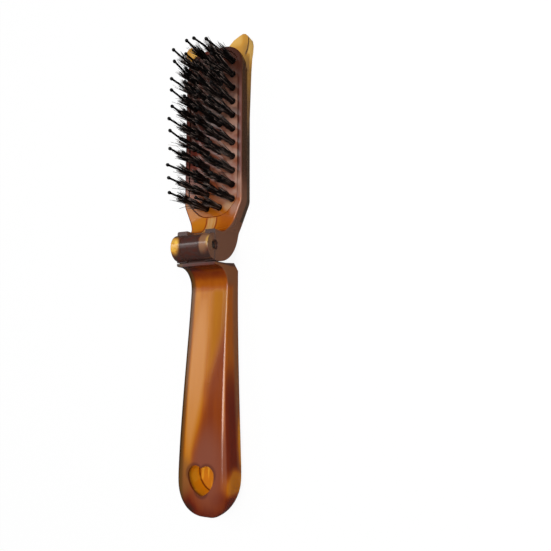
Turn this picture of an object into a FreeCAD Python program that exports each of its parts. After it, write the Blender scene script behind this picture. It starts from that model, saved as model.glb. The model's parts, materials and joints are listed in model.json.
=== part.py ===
import FreeCAD, Part
import math
import os
import Sketcher

# A folding travel brush lying open on its back, in millimetres.
# X runs across the brush, Y runs from the handle's end to the ears, Z runs up along the bristles.
# Sketches measure Y from the hinge axis, and every body is then moved so that the brush is centred
# on the origin.

V = FreeCAD.Vector
doc = FreeCAD.newDocument("brush")
sheet = doc.addObject("Spreadsheet::Sheet", "Sizes")

SIZES = [
    # the bristle field
    ("tuft_pitch", 6.0),
    ("column_pitch", 6.0),
    ("base_start", 14.3),
    ("first_margin", 3.9),
    ("last_margin", 2.4),
    ("side_margin", 2.7),
    ("socket_radius", 1.45),
    ("socket_depth", 2.3),
    ("anchor_tall", 0.8),
    ("anchor_thick", 0.4),
    ("tuft_fit", 0.08),
    ("tuft_tip_radius", 2.1),
    ("tuft_tall", 13.5),
    ("nylon_radius", 0.45),
    ("nylon_fit", 0.08),
    ("nylon_tall", 18.1),
    ("bead_radius", 0.75),
    ("bead_tall", 1.3),
    # the head
    ("rim_width", 2.0),
    ("frame_thick", 4.5),
    ("cover_thick", 2.6),
    ("base_thick", 2.8),
    ("base_drop", 0.4),
    ("base_fit", 0.05),
    ("base_bevel", 0.35),
    ("base_corner", 6.3),
    ("corner_round", 9.0),
    ("shoulder_round", 6.0),
    ("shoulder_rise", 12.5),
    ("ear_rise", 5.0),
    ("ear_out", 1.85),
    ("ear_reach", 8.3),
    ("ear_thick", 5.0),
    ("edge_round", 0.7),
    # the hinge
    ("pin_tall", 19.0),
    ("knuckle_half", 6.0),
    ("ledge_rise", 0.4),
    ("barrel_radius", 5.2),
    ("barrel_drop", 0.5),
    ("barrel_inset", 0.3),
    ("barrel_edge", 0.35),
    ("hinge_width", 17.4),
    ("tongue_width", 7.8),
    ("side_gap", 0.16),
    ("round_gap", 0.35),
    ("heel_round", 17.0),
    ("heel_land", 1.2),
    ("neck_round", 7.7),
    ("pin_radius", 1.5),
    ("running_fit", 0.05),
    ("recess_radius", 2.0),
    ("recess_depth", 1.0),
    # the handle
    ("stop_gap", 0.4),
    ("lip_thick", 1.25),
    ("lip_round", 7.8),
    ("handle_long", 86.7),
    ("handle_thick", 8.8),
    ("swell_thick", 4.6),
    ("swell_side", 3.1),
    ("edge_swell", 2.8),
    ("heart_wide", 11.2),
    ("heart_tall", 11.2),
    ("heart_inset", 8.75),
    ("heart_depth", 9.0),
]
for i, (name, value) in enumerate(SIZES):
    sheet.set("A%d" % (i + 1), name)
    sheet.set("B%d" % (i + 1), str(value))
    sheet.setAlias("B%d" % (i + 1), name)
doc.recompute()

ROWS = 11


def words(text):
    """Write an expression so that each size name is read from the sheet."""
    out = ""
    word = ""
    for ch in text + " ":
        if ch.isalnum() or ch == "_":
            word += ch
            continue
        out += "Sizes." + word if word in NAMES else word
        out += ch
        word = ""
    return out.strip()


NAMES = {name for name, value in SIZES}

# Lengths that several pieces share, each in terms of the sheet.
PIN = "pin_tall"
HALF_HINGE = "(hinge_width / 2)"
BASE_HALF = "(1.5 * column_pitch + side_margin)"
BASE_END = "(base_start + first_margin + %d * tuft_pitch + last_margin)" % ROWS
HEAD_HALF = "(1.5 * column_pitch + side_margin + base_fit + rim_width)"
FRAME_END = "(base_start + first_margin + %d * tuft_pitch + last_margin + base_fit + rim_width)" % ROWS
RIM_TOP = "(cover_thick + frame_thick)"
BASE_TOP = "(cover_thick + frame_thick - base_drop)"
SOCKET_FLOOR = "(cover_thick + frame_thick - base_drop - socket_depth)"
TUFT_FOOT = "(cover_thick + frame_thick - base_drop - socket_depth + anchor_tall)"
HANDLE_TOP = "(knuckle_half + stop_gap)"
LOFT_START = "(knuckle_half + stop_gap + 2 * lip_thick + lip_round)"
HANDLE_END = "(knuckle_half + stop_gap + 2 * lip_thick + lip_round + handle_long)"
EAR_END = "(%s + ear_rise)" % FRAME_END
HEEL_END = "(heel_round - knuckle_half + heel_land)"
SHIFT = "((%s - %s) / 2)" % (HANDLE_END, EAR_END)
SLOT_HALF = "(tongue_width / 2 + side_gap)"
BARREL_WIDTH = "(hinge_width - 2 * barrel_inset)"
SLOT_FLOOR = "(pin_tall - barrel_radius - barrel_drop - round_gap)"
TONGUE_RADIUS = "(barrel_radius - 0.3 * round_gap)"


def number(text):
    """The present value of an expression."""
    value = sheet.evalExpression(words(text).replace("Sizes.", ""))
    return float(getattr(value, "Value", value))


def origin_plane(body, role):
    return [f for f in body.Origin.OriginFeatures if f.Role == role][0]


def new_sketch(body, name, role, offset=None):
    """An empty sketch on one of the body's own planes, moved along the plane's normal."""
    sketch = body.newObject("Sketcher::SketchObject", name)
    sketch.AttachmentSupport = [(origin_plane(body, role), "")]
    sketch.MapMode = "FlatFace"
    if offset is not None:
        sketch.setExpression("AttachmentOffset.Base.z", words(offset))
    return sketch


def bind(sketch, kind, value, *where):
    """Add one driven dimension to a sketch."""
    index = sketch.addConstraint(Sketcher.Constraint(kind, *where, number(value)))
    sketch.setExpression("Constraints[%d]" % index, words(value))


def add_polygon(sketch, corners):
    """A closed polygon whose corners are all set by expressions."""
    first = len(sketch.Geometry)
    n = len(corners)
    at = [(number(a), number(b)) for a, b in corners]
    for i in range(n):
        a = at[i]
        b = at[(i + 1) % n]
        sketch.addGeometry(Part.LineSegment(V(a[0], a[1], 0), V(b[0], b[1], 0)))
    for i in range(n):
        sketch.addConstraint(Sketcher.Constraint("Coincident", first + i, 2, first + (i + 1) % n, 1))
    for i in range(n):
        bind(sketch, "DistanceX", corners[i][0], -1, 1, first + i, 1)
        bind(sketch, "DistanceY", corners[i][1], -1, 1, first + i, 1)


def add_circle(sketch, x, y, radius):
    """A circle whose place and radius are set by expressions."""
    spot = V(number(x), number(y), 0)
    g = sketch.addGeometry(Part.Circle(spot, V(0, 0, 1), number(radius)))
    bind(sketch, "DistanceX", x, -1, 1, g, 3)
    bind(sketch, "DistanceY", y, -1, 1, g, 3)
    bind(sketch, "Radius", radius, g)


def mirrored(half):
    """A closed outline from its right half, listed from one end to the other."""
    return half + [("-(%s)" % x, y) for x, y in reversed(half)]


def pad_through(body, name, sketch, width):
    """A pad that grows both ways from the sketch."""
    pad = body.newObject("PartDesign::Pad", name)
    pad.Profile = sketch
    pad.Midplane = True
    pad.setExpression("Length", words(width))
    doc.recompute()
    return pad


def pad_up(body, name, sketch, height):
    pad = body.newObject("PartDesign::Pad", name)
    pad.Profile = sketch
    pad.setExpression("Length", words(height))
    doc.recompute()
    return pad


def cut(body, name, sketch, length=None, both=True, turned=False):
    """A pocket through everything, or to a length on one side of its sketch."""
    pocket = body.newObject("PartDesign::Pocket", name)
    pocket.Profile = sketch
    if length is None:
        pocket.Type = "ThroughAll"
    else:
        pocket.setExpression("Length", words(length))
    pocket.Midplane = both
    pocket.Reversed = turned
    doc.recompute()
    return pocket


def edges_where(feature, test):
    """Names of the edges whose middle point and direction pass a test."""
    found = []
    for i, edge in enumerate(feature.Shape.Edges):
        mid = edge.valueAt((edge.FirstParameter + edge.LastParameter) / 2)
        ends = [v.Point for v in edge.Vertexes]
        span = ends[-1] - ends[0]
        if test(mid, span, ends):
            found.append("Edge%d" % (i + 1))
    return found


def round_edges(body, name, feature, names, radius):
    fillet = body.newObject("PartDesign::Fillet", name)
    fillet.Base = (feature, names)
    fillet.setExpression("Radius", words(radius))
    doc.recompute()
    return fillet


def bevel_edges(body, name, feature, names, size):
    bevel = body.newObject("PartDesign::Chamfer", name)
    bevel.Base = (feature, names)
    bevel.setExpression("Size", words(size))
    doc.recompute()
    return bevel


def near(a, b, slack=0.02):
    return abs(a - b) < slack


def upright_at(x, y):
    """A test for edges along Z that stand at a place, on either side of the middle."""
    px = number(x)
    py = number(y)

    def test(mid, span, ends):
        level = abs(span.x) < 1e-4 and abs(span.y) < 1e-4 and abs(span.z) > 1e-3
        return level and near(abs(mid.x), px) and near(mid.y, py)

    return test


def across_at(y, z):
    """A test for edges along X that lie at a place."""
    py = number(y)
    pz = number(z)

    def test(mid, span, ends):
        level = abs(span.y) < 1e-4 and abs(span.z) < 1e-4 and abs(span.x) > 1e-3
        return level and near(mid.y, py) and near(mid.z, pz)

    return test


def centre(thing):
    thing.setExpression("Placement.Base.y", words(SHIFT))


# The plan of the bristle base, which the tray in the frame follows with a fit all round.
def base_half_outline(grow):
    half = "%s + %s" % (BASE_HALF, grow)
    low = "base_start - %s" % grow
    high = "%s + %s" % (BASE_END, grow)
    turn = "0.6 * (corner_round - rim_width)"
    return [
        (half + " - base_corner", low),
        (half, low + " + base_corner"),
        (half, high + " - " + turn),
        (half + " - " + turn, high),
    ]


def base_outline(grow):
    return mirrored(base_half_outline(grow))


def round_base(body, name, feature, grow):
    corners = base_half_outline(grow)
    names = []
    for spot in corners[:2]:
        names += edges_where(feature, upright_at(*spot))
    feature = round_edges(body, name + "_low", feature, names, "1.25 * base_corner")
    names = []
    for spot in corners[2:]:
        names += edges_where(feature, upright_at(*spot))
    return round_edges(body, name + "_high", feature, names, "0.9 * (corner_round - rim_width)")


# Head frame: one moulding seen from the side, cut to its plan, with a fork, a tray and a bore.
def make_frame():
    body = doc.addObject("PartDesign::Body", "head_frame")
    body.Label = "head_frame"
    side = new_sketch(body, "frame_side", "YZ_Plane")
    add_polygon(side, [
        ("-knuckle_half", PIN),
        ("-knuckle_half", "0"),
        (HEEL_END, "0"),
        (HEEL_END, "cover_thick"),
        (FRAME_END, "cover_thick"),
        (FRAME_END, RIM_TOP),
        ("knuckle_half + ledge_rise", RIM_TOP),
        ("knuckle_half + ledge_rise", PIN),
    ])
    last = pad_through(body, "frame_block", side, "2 * " + HEAD_HALF)
    plan = new_sketch(body, "frame_plan", "XY_Plane")
    add_polygon(plan, [
        ("-2 * " + HEAD_HALF, "-2 * knuckle_half"),
        ("2 * " + HEAD_HALF, "-2 * knuckle_half"),
        ("2 * " + HEAD_HALF, FRAME_END + " + rim_width"),
        ("-2 * " + HEAD_HALF, FRAME_END + " + rim_width"),
    ])
    half = [
        (HALF_HINGE, "-knuckle_half - rim_width"),
        (HALF_HINGE, "base_start + first_margin + tuft_pitch / 2 - shoulder_rise - rim_width / 2"),
        (HEAD_HALF, "base_start + first_margin + tuft_pitch / 2 - rim_width / 2"),
        (HEAD_HALF, FRAME_END),
    ]
    add_polygon(plan, mirrored(half))
    last = cut(body, "frame_trim", plan)
    corner = edges_where(last, upright_at(HEAD_HALF, FRAME_END))
    last = round_edges(body, "frame_corners", last, corner, "corner_round")
    wide = edges_where(last, upright_at(*half[2]))
    last = round_edges(body, "frame_shoulders", last, wide, "shoulder_round")
    narrow = edges_where(last, upright_at(*half[1]))
    last = round_edges(body, "frame_waist", last, narrow, "shoulder_round")
    heel = edges_where(last, across_at("-knuckle_half", "0"))
    last = round_edges(body, "frame_heel", last, heel, "heel_round")
    neck = edges_where(last, across_at("knuckle_half + ledge_rise", RIM_TOP))
    last = round_edges(body, "frame_neck", last, neck, "neck_round")
    rim = edges_where(last, across_at(FRAME_END, RIM_TOP))
    last = round_edges(body, "frame_rim", last, rim, "edge_round")
    barrel = new_sketch(body, "frame_barrel_side", "YZ_Plane")
    add_circle(barrel, "-barrel_drop", PIN, "barrel_radius")
    last = pad_through(body, "frame_barrel", barrel, BARREL_WIDTH)
    cheek = number(BARREL_WIDTH) / 2

    def barrel_edge(mid, span, ends):
        front = mid.z > number(PIN) + 0.8 * number("barrel_radius")
        return front and near(abs(mid.x), cheek)

    last = round_edges(body, "frame_cheeks", last, edges_where(last, barrel_edge), "barrel_edge")
    slot = new_sketch(body, "frame_fork_side", "YZ_Plane")
    add_polygon(slot, [
        ("-2 * knuckle_half", SLOT_FLOOR),
        ("2 * knuckle_half", SLOT_FLOOR),
        ("2 * knuckle_half", PIN + " + 2 * barrel_radius"),
        ("-2 * knuckle_half", PIN + " + 2 * barrel_radius"),
    ])
    last = cut(body, "frame_fork", slot, "2 * " + SLOT_HALF)
    tray = new_sketch(body, "frame_tray_plan", "XY_Plane", RIM_TOP)
    add_polygon(tray, base_outline("base_fit"))
    last = cut(body, "frame_tray", tray, "base_drop + base_thick", both=False)
    last = round_base(body, "frame_tray", last, "base_fit")
    bore = new_sketch(body, "frame_bore_side", "YZ_Plane")
    add_circle(bore, "0", PIN, "pin_radius")
    last = cut(body, "frame_bore", bore)
    for sign, tag in (("", "right"), ("-", "left")):
        ring = new_sketch(body, "frame_recess_%s_side" % tag, "YZ_Plane", sign + HALF_HINGE)
        add_circle(ring, "0", PIN, "recess_radius")
        last = cut(body, "frame_recess_" + tag, ring, "recess_depth", both=False, turned=(sign == "-"))
    centre(body)
    return body


# Bristle base: a plate with a blind socket for each tuft.
def columns():
    """Every tuft's place as expressions, row by row from the neck."""
    rows = []
    for k in range(ROWS + 1):
        y_mid = "base_start + first_margin + %d * tuft_pitch" % k
        row = [("-column_pitch / 2", y_mid), ("column_pitch / 2", y_mid)]
        if k < ROWS:
            y_out = "base_start + first_margin + %d * tuft_pitch + tuft_pitch / 2" % k
            row += [("-1.5 * column_pitch", y_out), ("1.5 * column_pitch", y_out)]
        rows.append(row)
    return rows


def make_base():
    body = doc.addObject("PartDesign::Body", "bristle_base")
    body.Label = "bristle_base"
    plan = new_sketch(body, "base_plan", "XY_Plane", BASE_TOP + " - base_thick")
    add_polygon(plan, base_outline("0"))
    last = pad_up(body, "base_plate", plan, "base_thick")
    last = round_base(body, "base", last, "0")
    top = number(BASE_TOP)
    rim = edges_where(last, lambda mid, span, ends: near(mid.z, top) and near(span.z, 0.0))
    bevel_edges(body, "base_seam", last, rim, "base_bevel")
    sockets = new_sketch(body, "base_sockets_plan", "XY_Plane", BASE_TOP)
    for row in columns():
        for x, y in row:
            add_circle(sockets, x, y, "socket_radius")
    cut(body, "base_sockets", sockets, "socket_depth", both=False)
    centre(body)
    return body


# Back cover: a plate under the frame whose top corners are drawn out as two thick ears.
EAR_ROOT = FRAME_END + " - 1.2 * corner_round"
EAR_INSIDE = HEAD_HALF + " - ear_reach"


def ear_back():
    """One ear in plan on the back, from its root up to the point and down its inner side."""
    return [
        (HEAD_HALF + " + 0.40 * ear_out", EAR_ROOT),
        (HEAD_HALF + " + 0.62 * ear_out", FRAME_END + " - 0.93 * ear_rise"),
        (HEAD_HALF + " + 0.88 * ear_out", FRAME_END + " - 0.33 * ear_rise"),
        (HEAD_HALF + " + ear_out", FRAME_END + " + 0.27 * ear_rise"),
        (HEAD_HALF + " + 0.78 * ear_out", FRAME_END + " + 0.71 * ear_rise"),
        (HEAD_HALF + " + 0.28 * ear_out", FRAME_END + " + 0.93 * ear_rise"),
        (HEAD_HALF + " - 0.09 * ear_reach", FRAME_END + " + ear_rise"),
        (HEAD_HALF + " - 0.31 * ear_reach", FRAME_END + " + 0.87 * ear_rise"),
        (HEAD_HALF + " - 0.615 * ear_reach", FRAME_END + " + 0.61 * ear_rise"),
        (HEAD_HALF + " - 0.885 * ear_reach", FRAME_END + " + 0.21 * ear_rise"),
        (EAR_INSIDE, FRAME_END),
        (EAR_INSIDE, EAR_ROOT),
    ]


def ear_front():
    """The same ear on its front, drawn in at the root, where it runs into the corner of the frame."""
    return [
        (HEAD_HALF + " - 0.70 * ear_out", EAR_ROOT + " + 0.70 * ear_rise"),
        (HEAD_HALF + " + 0.10 * ear_out", FRAME_END + " - 0.89 * ear_rise"),
        (HEAD_HALF + " + 0.62 * ear_out", FRAME_END + " - 0.47 * ear_rise"),
        (HEAD_HALF + " + 0.94 * ear_out", FRAME_END + " + 0.17 * ear_rise"),
        (HEAD_HALF + " + 0.88 * ear_out", FRAME_END + " + 0.66 * ear_rise"),
        (HEAD_HALF + " + 0.28 * ear_out", FRAME_END + " + 0.89 * ear_rise"),
        (HEAD_HALF + " - 0.09 * ear_reach", FRAME_END + " + 0.96 * ear_rise"),
        (HEAD_HALF + " - 0.31 * ear_reach", FRAME_END + " + 0.83 * ear_rise"),
        (HEAD_HALF + " - 0.62 * ear_reach", FRAME_END + " + 0.58 * ear_rise"),
        (HEAD_HALF + " - 0.89 * ear_reach", FRAME_END + " + 0.17 * ear_rise"),
        (HEAD_HALF + " - 0.99 * ear_reach", FRAME_END + " - 0.07 * ear_rise"),
        (HEAD_HALF + " - 0.99 * ear_reach", EAR_ROOT),
    ]


def add_seat(sketch):
    """The plan of the frame's top end with its clearance: straight sides, a straight top and round corners."""
    side = HEAD_HALF + " + base_fit"
    top = FRAME_END + " + base_fit"
    turn_x = HEAD_HALF + " - corner_round"
    turn_y = FRAME_END + " - corner_round"
    radius = "corner_round + base_fit"
    corners = mirrored([(side, FRAME_END + " - 3 * corner_round"), (side, turn_y), (turn_x, top)])
    at = [V(number(x), number(y), 0) for x, y in corners]
    centres = {1: V(number(turn_x), number(turn_y), 0), 3: V(-number(turn_x), number(turn_y), 0)}
    n = len(corners)
    for i in range(n):
        if i in centres:
            ring = Part.Circle(centres[i], V(0, 0, 1), number(radius))
            start = 0.0 if i == 1 else math.pi / 2
            sketch.addGeometry(Part.ArcOfCircle(ring, start, start + math.pi / 2))
        else:
            sketch.addGeometry(Part.LineSegment(at[i], at[(i + 1) % n]))
    for i in range(n):
        sketch.addConstraint(Sketcher.Constraint("Coincident", i, 2, (i + 1) % n, 1))
    for i in range(n):
        bind(sketch, "DistanceX", corners[i][0], -1, 1, i, 1)
        bind(sketch, "DistanceY", corners[i][1], -1, 1, i, 1)
    for i in centres:
        bind(sketch, "Radius", radius, i)


def make_cover():
    body = doc.addObject("PartDesign::Body", "back_cover")
    body.Label = "back_cover"
    shoulder = "base_start + first_margin + tuft_pitch / 2 - rim_width / 2"
    start = HEEL_END + " + base_fit"
    run = "((%s) - (%s)) / shoulder_rise" % (start, shoulder + " - shoulder_rise")
    start_half = "%s + (%s - %s) * (%s)" % (HALF_HINGE, HEAD_HALF, HALF_HINGE, run)
    half = [
        (start_half, start),
        (HEAD_HALF, shoulder),
        (HEAD_HALF, FRAME_END + " - 3.5 * corner_round"),
    ] + ear_back()[:-1]
    plan = new_sketch(body, "cover_plan", "XY_Plane")
    add_polygon(plan, mirrored(half))
    last = pad_up(body, "cover_plate", plan, "cover_thick")
    wide = edges_where(last, upright_at(*half[1]))
    last = round_edges(body, "cover_shoulders", last, wide, "shoulder_round")
    for sign, tag in (("", "right"), ("-", "left")):
        low = new_sketch(body, "cover_ear_%s_low" % tag, "XY_Plane", "cover_thick")
        add_polygon(low, [("%s(%s)" % (sign, x), y) for x, y in ear_back()])
        high = new_sketch(body, "cover_ear_%s_high" % tag, "XY_Plane", "ear_thick")
        add_polygon(high, [("%s(%s)" % (sign, x), y) for x, y in ear_front()])
        doc.recompute()
        ear = body.newObject("PartDesign::AdditiveLoft", "cover_ear_" + tag)
        ear.Profile = low
        ear.Sections = [high]
        ear.Ruled = True
        doc.recompute()
    seat = new_sketch(body, "cover_seat_plan", "XY_Plane", "ear_thick")
    add_seat(seat)
    cut(body, "cover_seat", seat, "ear_thick - cover_thick", both=False)
    centre(body)
    return body


# Hinge pin: a turned rod with broken edges.
def make_pin():
    body = doc.addObject("PartDesign::Body", "hinge_pin")
    body.Label = "hinge_pin"
    ring = new_sketch(body, "pin_side", "YZ_Plane")
    add_circle(ring, "0", PIN, "pin_radius")
    last = pad_through(body, "pin_rod", ring, "hinge_width - 2 * recess_depth")
    ends = ["Edge%d" % (i + 1) for i, e in enumerate(last.Shape.Edges) if len(e.Vertexes) == 1]
    bevel = body.newObject("PartDesign::Chamfer", "pin_bevel")
    bevel.Base = (last, ends)
    bevel.setExpression("Size", words("pin_radius / 5"))
    doc.recompute()
    centre(body)
    return body


# Handle: a lofted grip, a lip and a tongue at the hinge, and a heart-shaped recess.
def add_section(body, name, back, half, low, high, round_low, round_high):
    """A rounded rectangle across the handle, at a distance behind the hinge axis."""
    sketch = new_sketch(body, name, "XZ_Plane", back)
    w = number(half)
    a = number(low)
    b = number(high)
    p = number(round_low)
    q = number(round_high)
    quarter = 1.5707963267948966
    up = V(0, 0, 1)

    def arc(x, y, r, begin):
        circle = Part.Circle(V(x, y, 0), up, r)
        sketch.addGeometry(Part.ArcOfCircle(circle, begin, begin + quarter))

    def line(x0, y0, x1, y1):
        sketch.addGeometry(Part.LineSegment(V(x0, y0, 0), V(x1, y1, 0)))

    line(-w + p, a, w - p, a)
    arc(w - p, a + p, p, -quarter)
    line(w, a + p, w, b - q)
    arc(w - q, b - q, q, 0)
    line(w - q, b, -w + q, b)
    arc(-w + q, b - q, q, quarter)
    line(-w, b - q, -w, a + p)
    arc(-w + p, a + p, p, 2 * quarter)
    for i in range(8):
        sketch.addConstraint(Sketcher.Constraint("Tangent", i, 2, (i + 1) % 8, 1))
    for i, kind in ((0, "Horizontal"), (2, "Vertical"), (4, "Horizontal"), (6, "Vertical")):
        sketch.addConstraint(Sketcher.Constraint(kind, i))
    for i, r in ((1, round_low), (3, round_high), (5, round_high), (7, round_low)):
        bind(sketch, "Radius", r, i)
    bind(sketch, "DistanceY", low, -1, 1, 0, 1)
    bind(sketch, "DistanceX", half, -1, 1, 2, 1)
    bind(sketch, "DistanceY", high, -1, 1, 4, 1)
    bind(sketch, "DistanceX", "-(%s)" % half, -1, 1, 6, 1)
    return sketch


def grip_stations():
    """Shares of length, side swelling and front swelling, and what is left of width and height, by section.

    The grip swells by a power of the distance and levels off, and its end closes as a squared-off ellipse.
    """
    shoulder = 0.82
    bow = 2.0 / 2.3
    spots = [(shoulder * i / 11.0, 0.0) for i in range(12)]
    for degrees in (14, 27, 39, 50, 60, 69, 77, 84):
        turn = math.radians(degrees)
        spots.append((shoulder + (1.0 - shoulder) * math.sin(turn) ** bow, turn))
    rows = []
    for share, turn in spots:
        along = share / shoulder
        flat = along - max(0.0, along - 0.8) ** 2 / 0.8
        swell = flat ** 1.6
        rise = math.sin(flat * math.pi / 2) ** 1.15
        rows.append((share, swell, rise, math.cos(turn) ** bow, math.cos(turn)))
    return rows


def make_handle():
    body = doc.addObject("PartDesign::Body", "handle_body")
    body.Label = "handle_body"
    side = new_sketch(body, "handle_top_side", "YZ_Plane")
    lip_low = "-(%s + lip_thick)" % HANDLE_TOP
    start = "-" + LOFT_START
    add_polygon(side, [
        ("-" + HANDLE_TOP, PIN),
        (lip_low, PIN),
        (lip_low, "handle_thick"),
        (start, "handle_thick"),
        (start, "0"),
        ("-%s - 0.22 * handle_thick" % HANDLE_TOP, "0"),
        ("-%s + 0.15 * handle_thick" % HANDLE_TOP, "0.46 * handle_thick"),
        ("-%s + 0.05 * handle_thick" % HANDLE_TOP, "1.25 * handle_thick"),
    ])
    last = pad_through(body, "handle_top", side, "hinge_width")
    root = edges_where(last, across_at(lip_low, "handle_thick"))
    last = round_edges(body, "handle_lip_root", last, root, "lip_round")
    cheek = number(HALF_HINGE)
    stop = number(start)

    def side_edge(mid, span, ends):
        on_side = near(abs(mid.x), cheek)
        seam = all(near(p.y, stop) for p in ends)
        return on_side and not seam and mid.y < -number(HANDLE_TOP) - 0.6 * number("lip_thick")

    last = round_edges(body, "handle_top_edges", last, edges_where(last, side_edge), "edge_round")
    middle = "(0.90 * handle_thick)"
    sections = []
    for i, (share, swell, rise, wide, tall) in enumerate(grip_stations()):
        back = "%s + %.5f * handle_long" % (LOFT_START, share)
        half = "(%s + %.5f * swell_side) * %.5f" % (HALF_HINGE, swell, wide)
        high = "%s + (handle_thick + %.5f * swell_thick - %s) * %.5f" % (middle, rise, middle, tall)
        low = "%s * %.5f" % (middle, 1.0 - tall ** 1.6)
        rounding = "(edge_round + %.5f * edge_swell) * %.5f" % (swell, min(wide, tall))
        name = "handle_section_%02d" % (i + 1)
        sections.append(add_section(body, name, back, half, low, high, rounding, rounding))
    doc.recompute()
    loft = body.newObject("PartDesign::AdditiveLoft", "handle_grip")
    loft.Profile = sections[0]
    loft.Sections = sections[1:]
    loft.Ruled = False
    doc.recompute()
    tongue = new_sketch(body, "handle_tongue_side", "YZ_Plane")
    add_circle(tongue, "-barrel_drop", PIN, TONGUE_RADIUS)
    pad_through(body, "handle_tongue", tongue, "tongue_width")
    web = new_sketch(body, "handle_web_side", "YZ_Plane")
    add_polygon(web, [
        ("0", PIN + " - " + TONGUE_RADIUS),
        ("0", PIN),
        ("-%s - lip_thick / 2" % HANDLE_TOP, PIN + " - lip_thick"),
        ("-%s - lip_thick / 2" % HANDLE_TOP, PIN + " - " + TONGUE_RADIUS),
    ])
    pad_through(body, "handle_web", web, "tongue_width")
    bore = new_sketch(body, "handle_bore_side", "YZ_Plane")
    add_circle(bore, "0", PIN, "pin_radius + running_fit")
    cut(body, "handle_bore", bore)
    add_heart(body)
    centre(body)
    return body


def add_heart(body):
    """A blind recess of two round lobes, whose sides bow out on their way to a point."""
    level = "handle_thick + swell_thick + lip_thick"
    heart = new_sketch(body, "handle_heart_plan", "XY_Plane", level)
    lobe = "heart_wide * 0.29"
    out = "heart_wide * 0.21"
    bow = "heart_wide * 0.70"
    tip = "-(%s) + heart_inset" % HANDLE_END
    lobe_y = tip + " + heart_tall - heart_wide * 0.29"
    r = number(lobe)
    big = number(bow)
    x = number(out)
    y = number(lobe_y)
    t = number(tip)
    up = V(0, 0, 1)
    # The side's centre is at big - r from the lobe's centre and at big from the point.
    span = math.hypot(x, y - t)
    along = (span * span + big * big - (big - r) ** 2) / (2 * span)
    away = math.sqrt(big * big - along * along)
    ux = x / span
    uy = (y - t) / span
    sx = along * ux - away * uy
    sy = t + along * uy + away * ux
    touch = math.atan2(y - sy, x - sx)
    point = math.atan2(t - sy, -sx)
    dip = math.acos(-x / r)
    heart.addGeometry(Part.ArcOfCircle(Part.Circle(V(x, y, 0), up, r), touch, dip))
    heart.addGeometry(Part.ArcOfCircle(Part.Circle(V(-x, y, 0), up, r), math.pi - dip, math.pi - touch))
    heart.addGeometry(Part.ArcOfCircle(Part.Circle(V(-sx, sy, 0), up, big), math.pi - touch, math.pi - point))
    heart.addGeometry(Part.ArcOfCircle(Part.Circle(V(sx, sy, 0), up, big), point, touch))
    heart.addConstraint(Sketcher.Constraint("Coincident", 0, 2, 1, 1))
    heart.addConstraint(Sketcher.Constraint("Tangent", 1, 2, 2, 1))
    heart.addConstraint(Sketcher.Constraint("Coincident", 2, 2, 3, 1))
    heart.addConstraint(Sketcher.Constraint("Tangent", 3, 2, 0, 1))
    for g, side in ((0, out), (1, "-" + out)):
        bind(heart, "DistanceX", side, -1, 1, g, 3)
        bind(heart, "DistanceY", lobe_y, -1, 1, g, 3)
        bind(heart, "Radius", lobe, g)
    bind(heart, "Radius", bow, 2)
    bind(heart, "Radius", bow, 3)
    bind(heart, "DistanceX", "0", -1, 1, 2, 2)
    bind(heart, "DistanceY", tip, -1, 1, 2, 2)
    return cut(body, "handle_heart", heart, "heart_depth + lip_thick", both=False)


# Tufts, nylon pins and wire anchors: plain stand-ins for bundles, each piece its own solid.
def place(thing, x, y, z):
    thing.setExpression("Placement.Base.x", words(x))
    thing.setExpression("Placement.Base.y", words("%s + %s" % (y, SHIFT)))
    thing.setExpression("Placement.Base.z", words(z))


def prism(name, sides, radius, height, x, y, z):
    thing = doc.addObject("Part::Prism", name)
    thing.Polygon = sides
    thing.setExpression("Circumradius", words(radius))
    thing.setExpression("Height", words(height))
    place(thing, x, y, z)
    return thing


def polygon(name, sides, radius, x, y, z):
    thing = doc.addObject("Part::RegularPolygon", name)
    thing.Polygon = sides
    thing.setExpression("Circumradius", words(radius))
    place(thing, x, y, z)
    return thing


def make_tuft(name, x, y):
    """A bundle, straight in its socket and spread towards its tips, open in the middle for the pin."""
    foot = "socket_radius - tuft_fit"
    rings = [
        polygon(name + "_foot", 8, foot, x, y, TUFT_FOOT),
        polygon(name + "_mouth", 8, foot, x, y, BASE_TOP),
        polygon(name + "_tip", 8, "tuft_tip_radius", x, y, BASE_TOP + " + tuft_tall"),
    ]
    bundle = doc.addObject("Part::Loft", name + "_bundle")
    bundle.Sections = rings
    bundle.Solid = True
    bundle.Ruled = True
    floor = TUFT_FOOT + " - anchor_tall"
    core = prism(name + "_core", 6, "nylon_radius + nylon_fit", "2 * tuft_tall", x, y, floor)
    tuft = doc.addObject("Part::Cut", name)
    tuft.Base = bundle
    tuft.Tool = core
    return tuft


def make_nylon(name, x, y):
    """A straight pin with a bead at its end."""
    length = "%s + nylon_tall - bead_tall - %s" % (BASE_TOP, TUFT_FOOT)
    shaft = prism(name + "_shaft", 6, "nylon_radius", length, x, y, TUFT_FOOT)
    low = BASE_TOP + " + nylon_tall - bead_tall"
    rings = [
        polygon(name + "_neck", 6, "nylon_radius", x, y, low),
        polygon(name + "_bulge", 6, "bead_radius", x, y, low + " + bead_tall / 2"),
        polygon(name + "_crown", 6, "nylon_radius", x, y, low + " + bead_tall"),
    ]
    bead = doc.addObject("Part::Loft", name + "_bead")
    bead.Sections = rings
    bead.Solid = True
    bead.Ruled = True
    pin = doc.addObject("Part::Fuse", name)
    pin.Base = shaft
    pin.Tool = bead
    return pin


def make_anchor(name, x, y):
    """A flat piece of wire across the floor of a socket."""
    wire = doc.addObject("Part::Box", name)
    long = "1.6 * (socket_radius - tuft_fit)"
    wire.setExpression("Length", words(long))
    wire.setExpression("Width", words("anchor_thick"))
    wire.setExpression("Height", words("anchor_tall"))
    place(wire, "%s - (%s) / 2" % (x, long), "%s - anchor_thick / 2" % y, SOCKET_FLOOR)
    return wire


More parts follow.
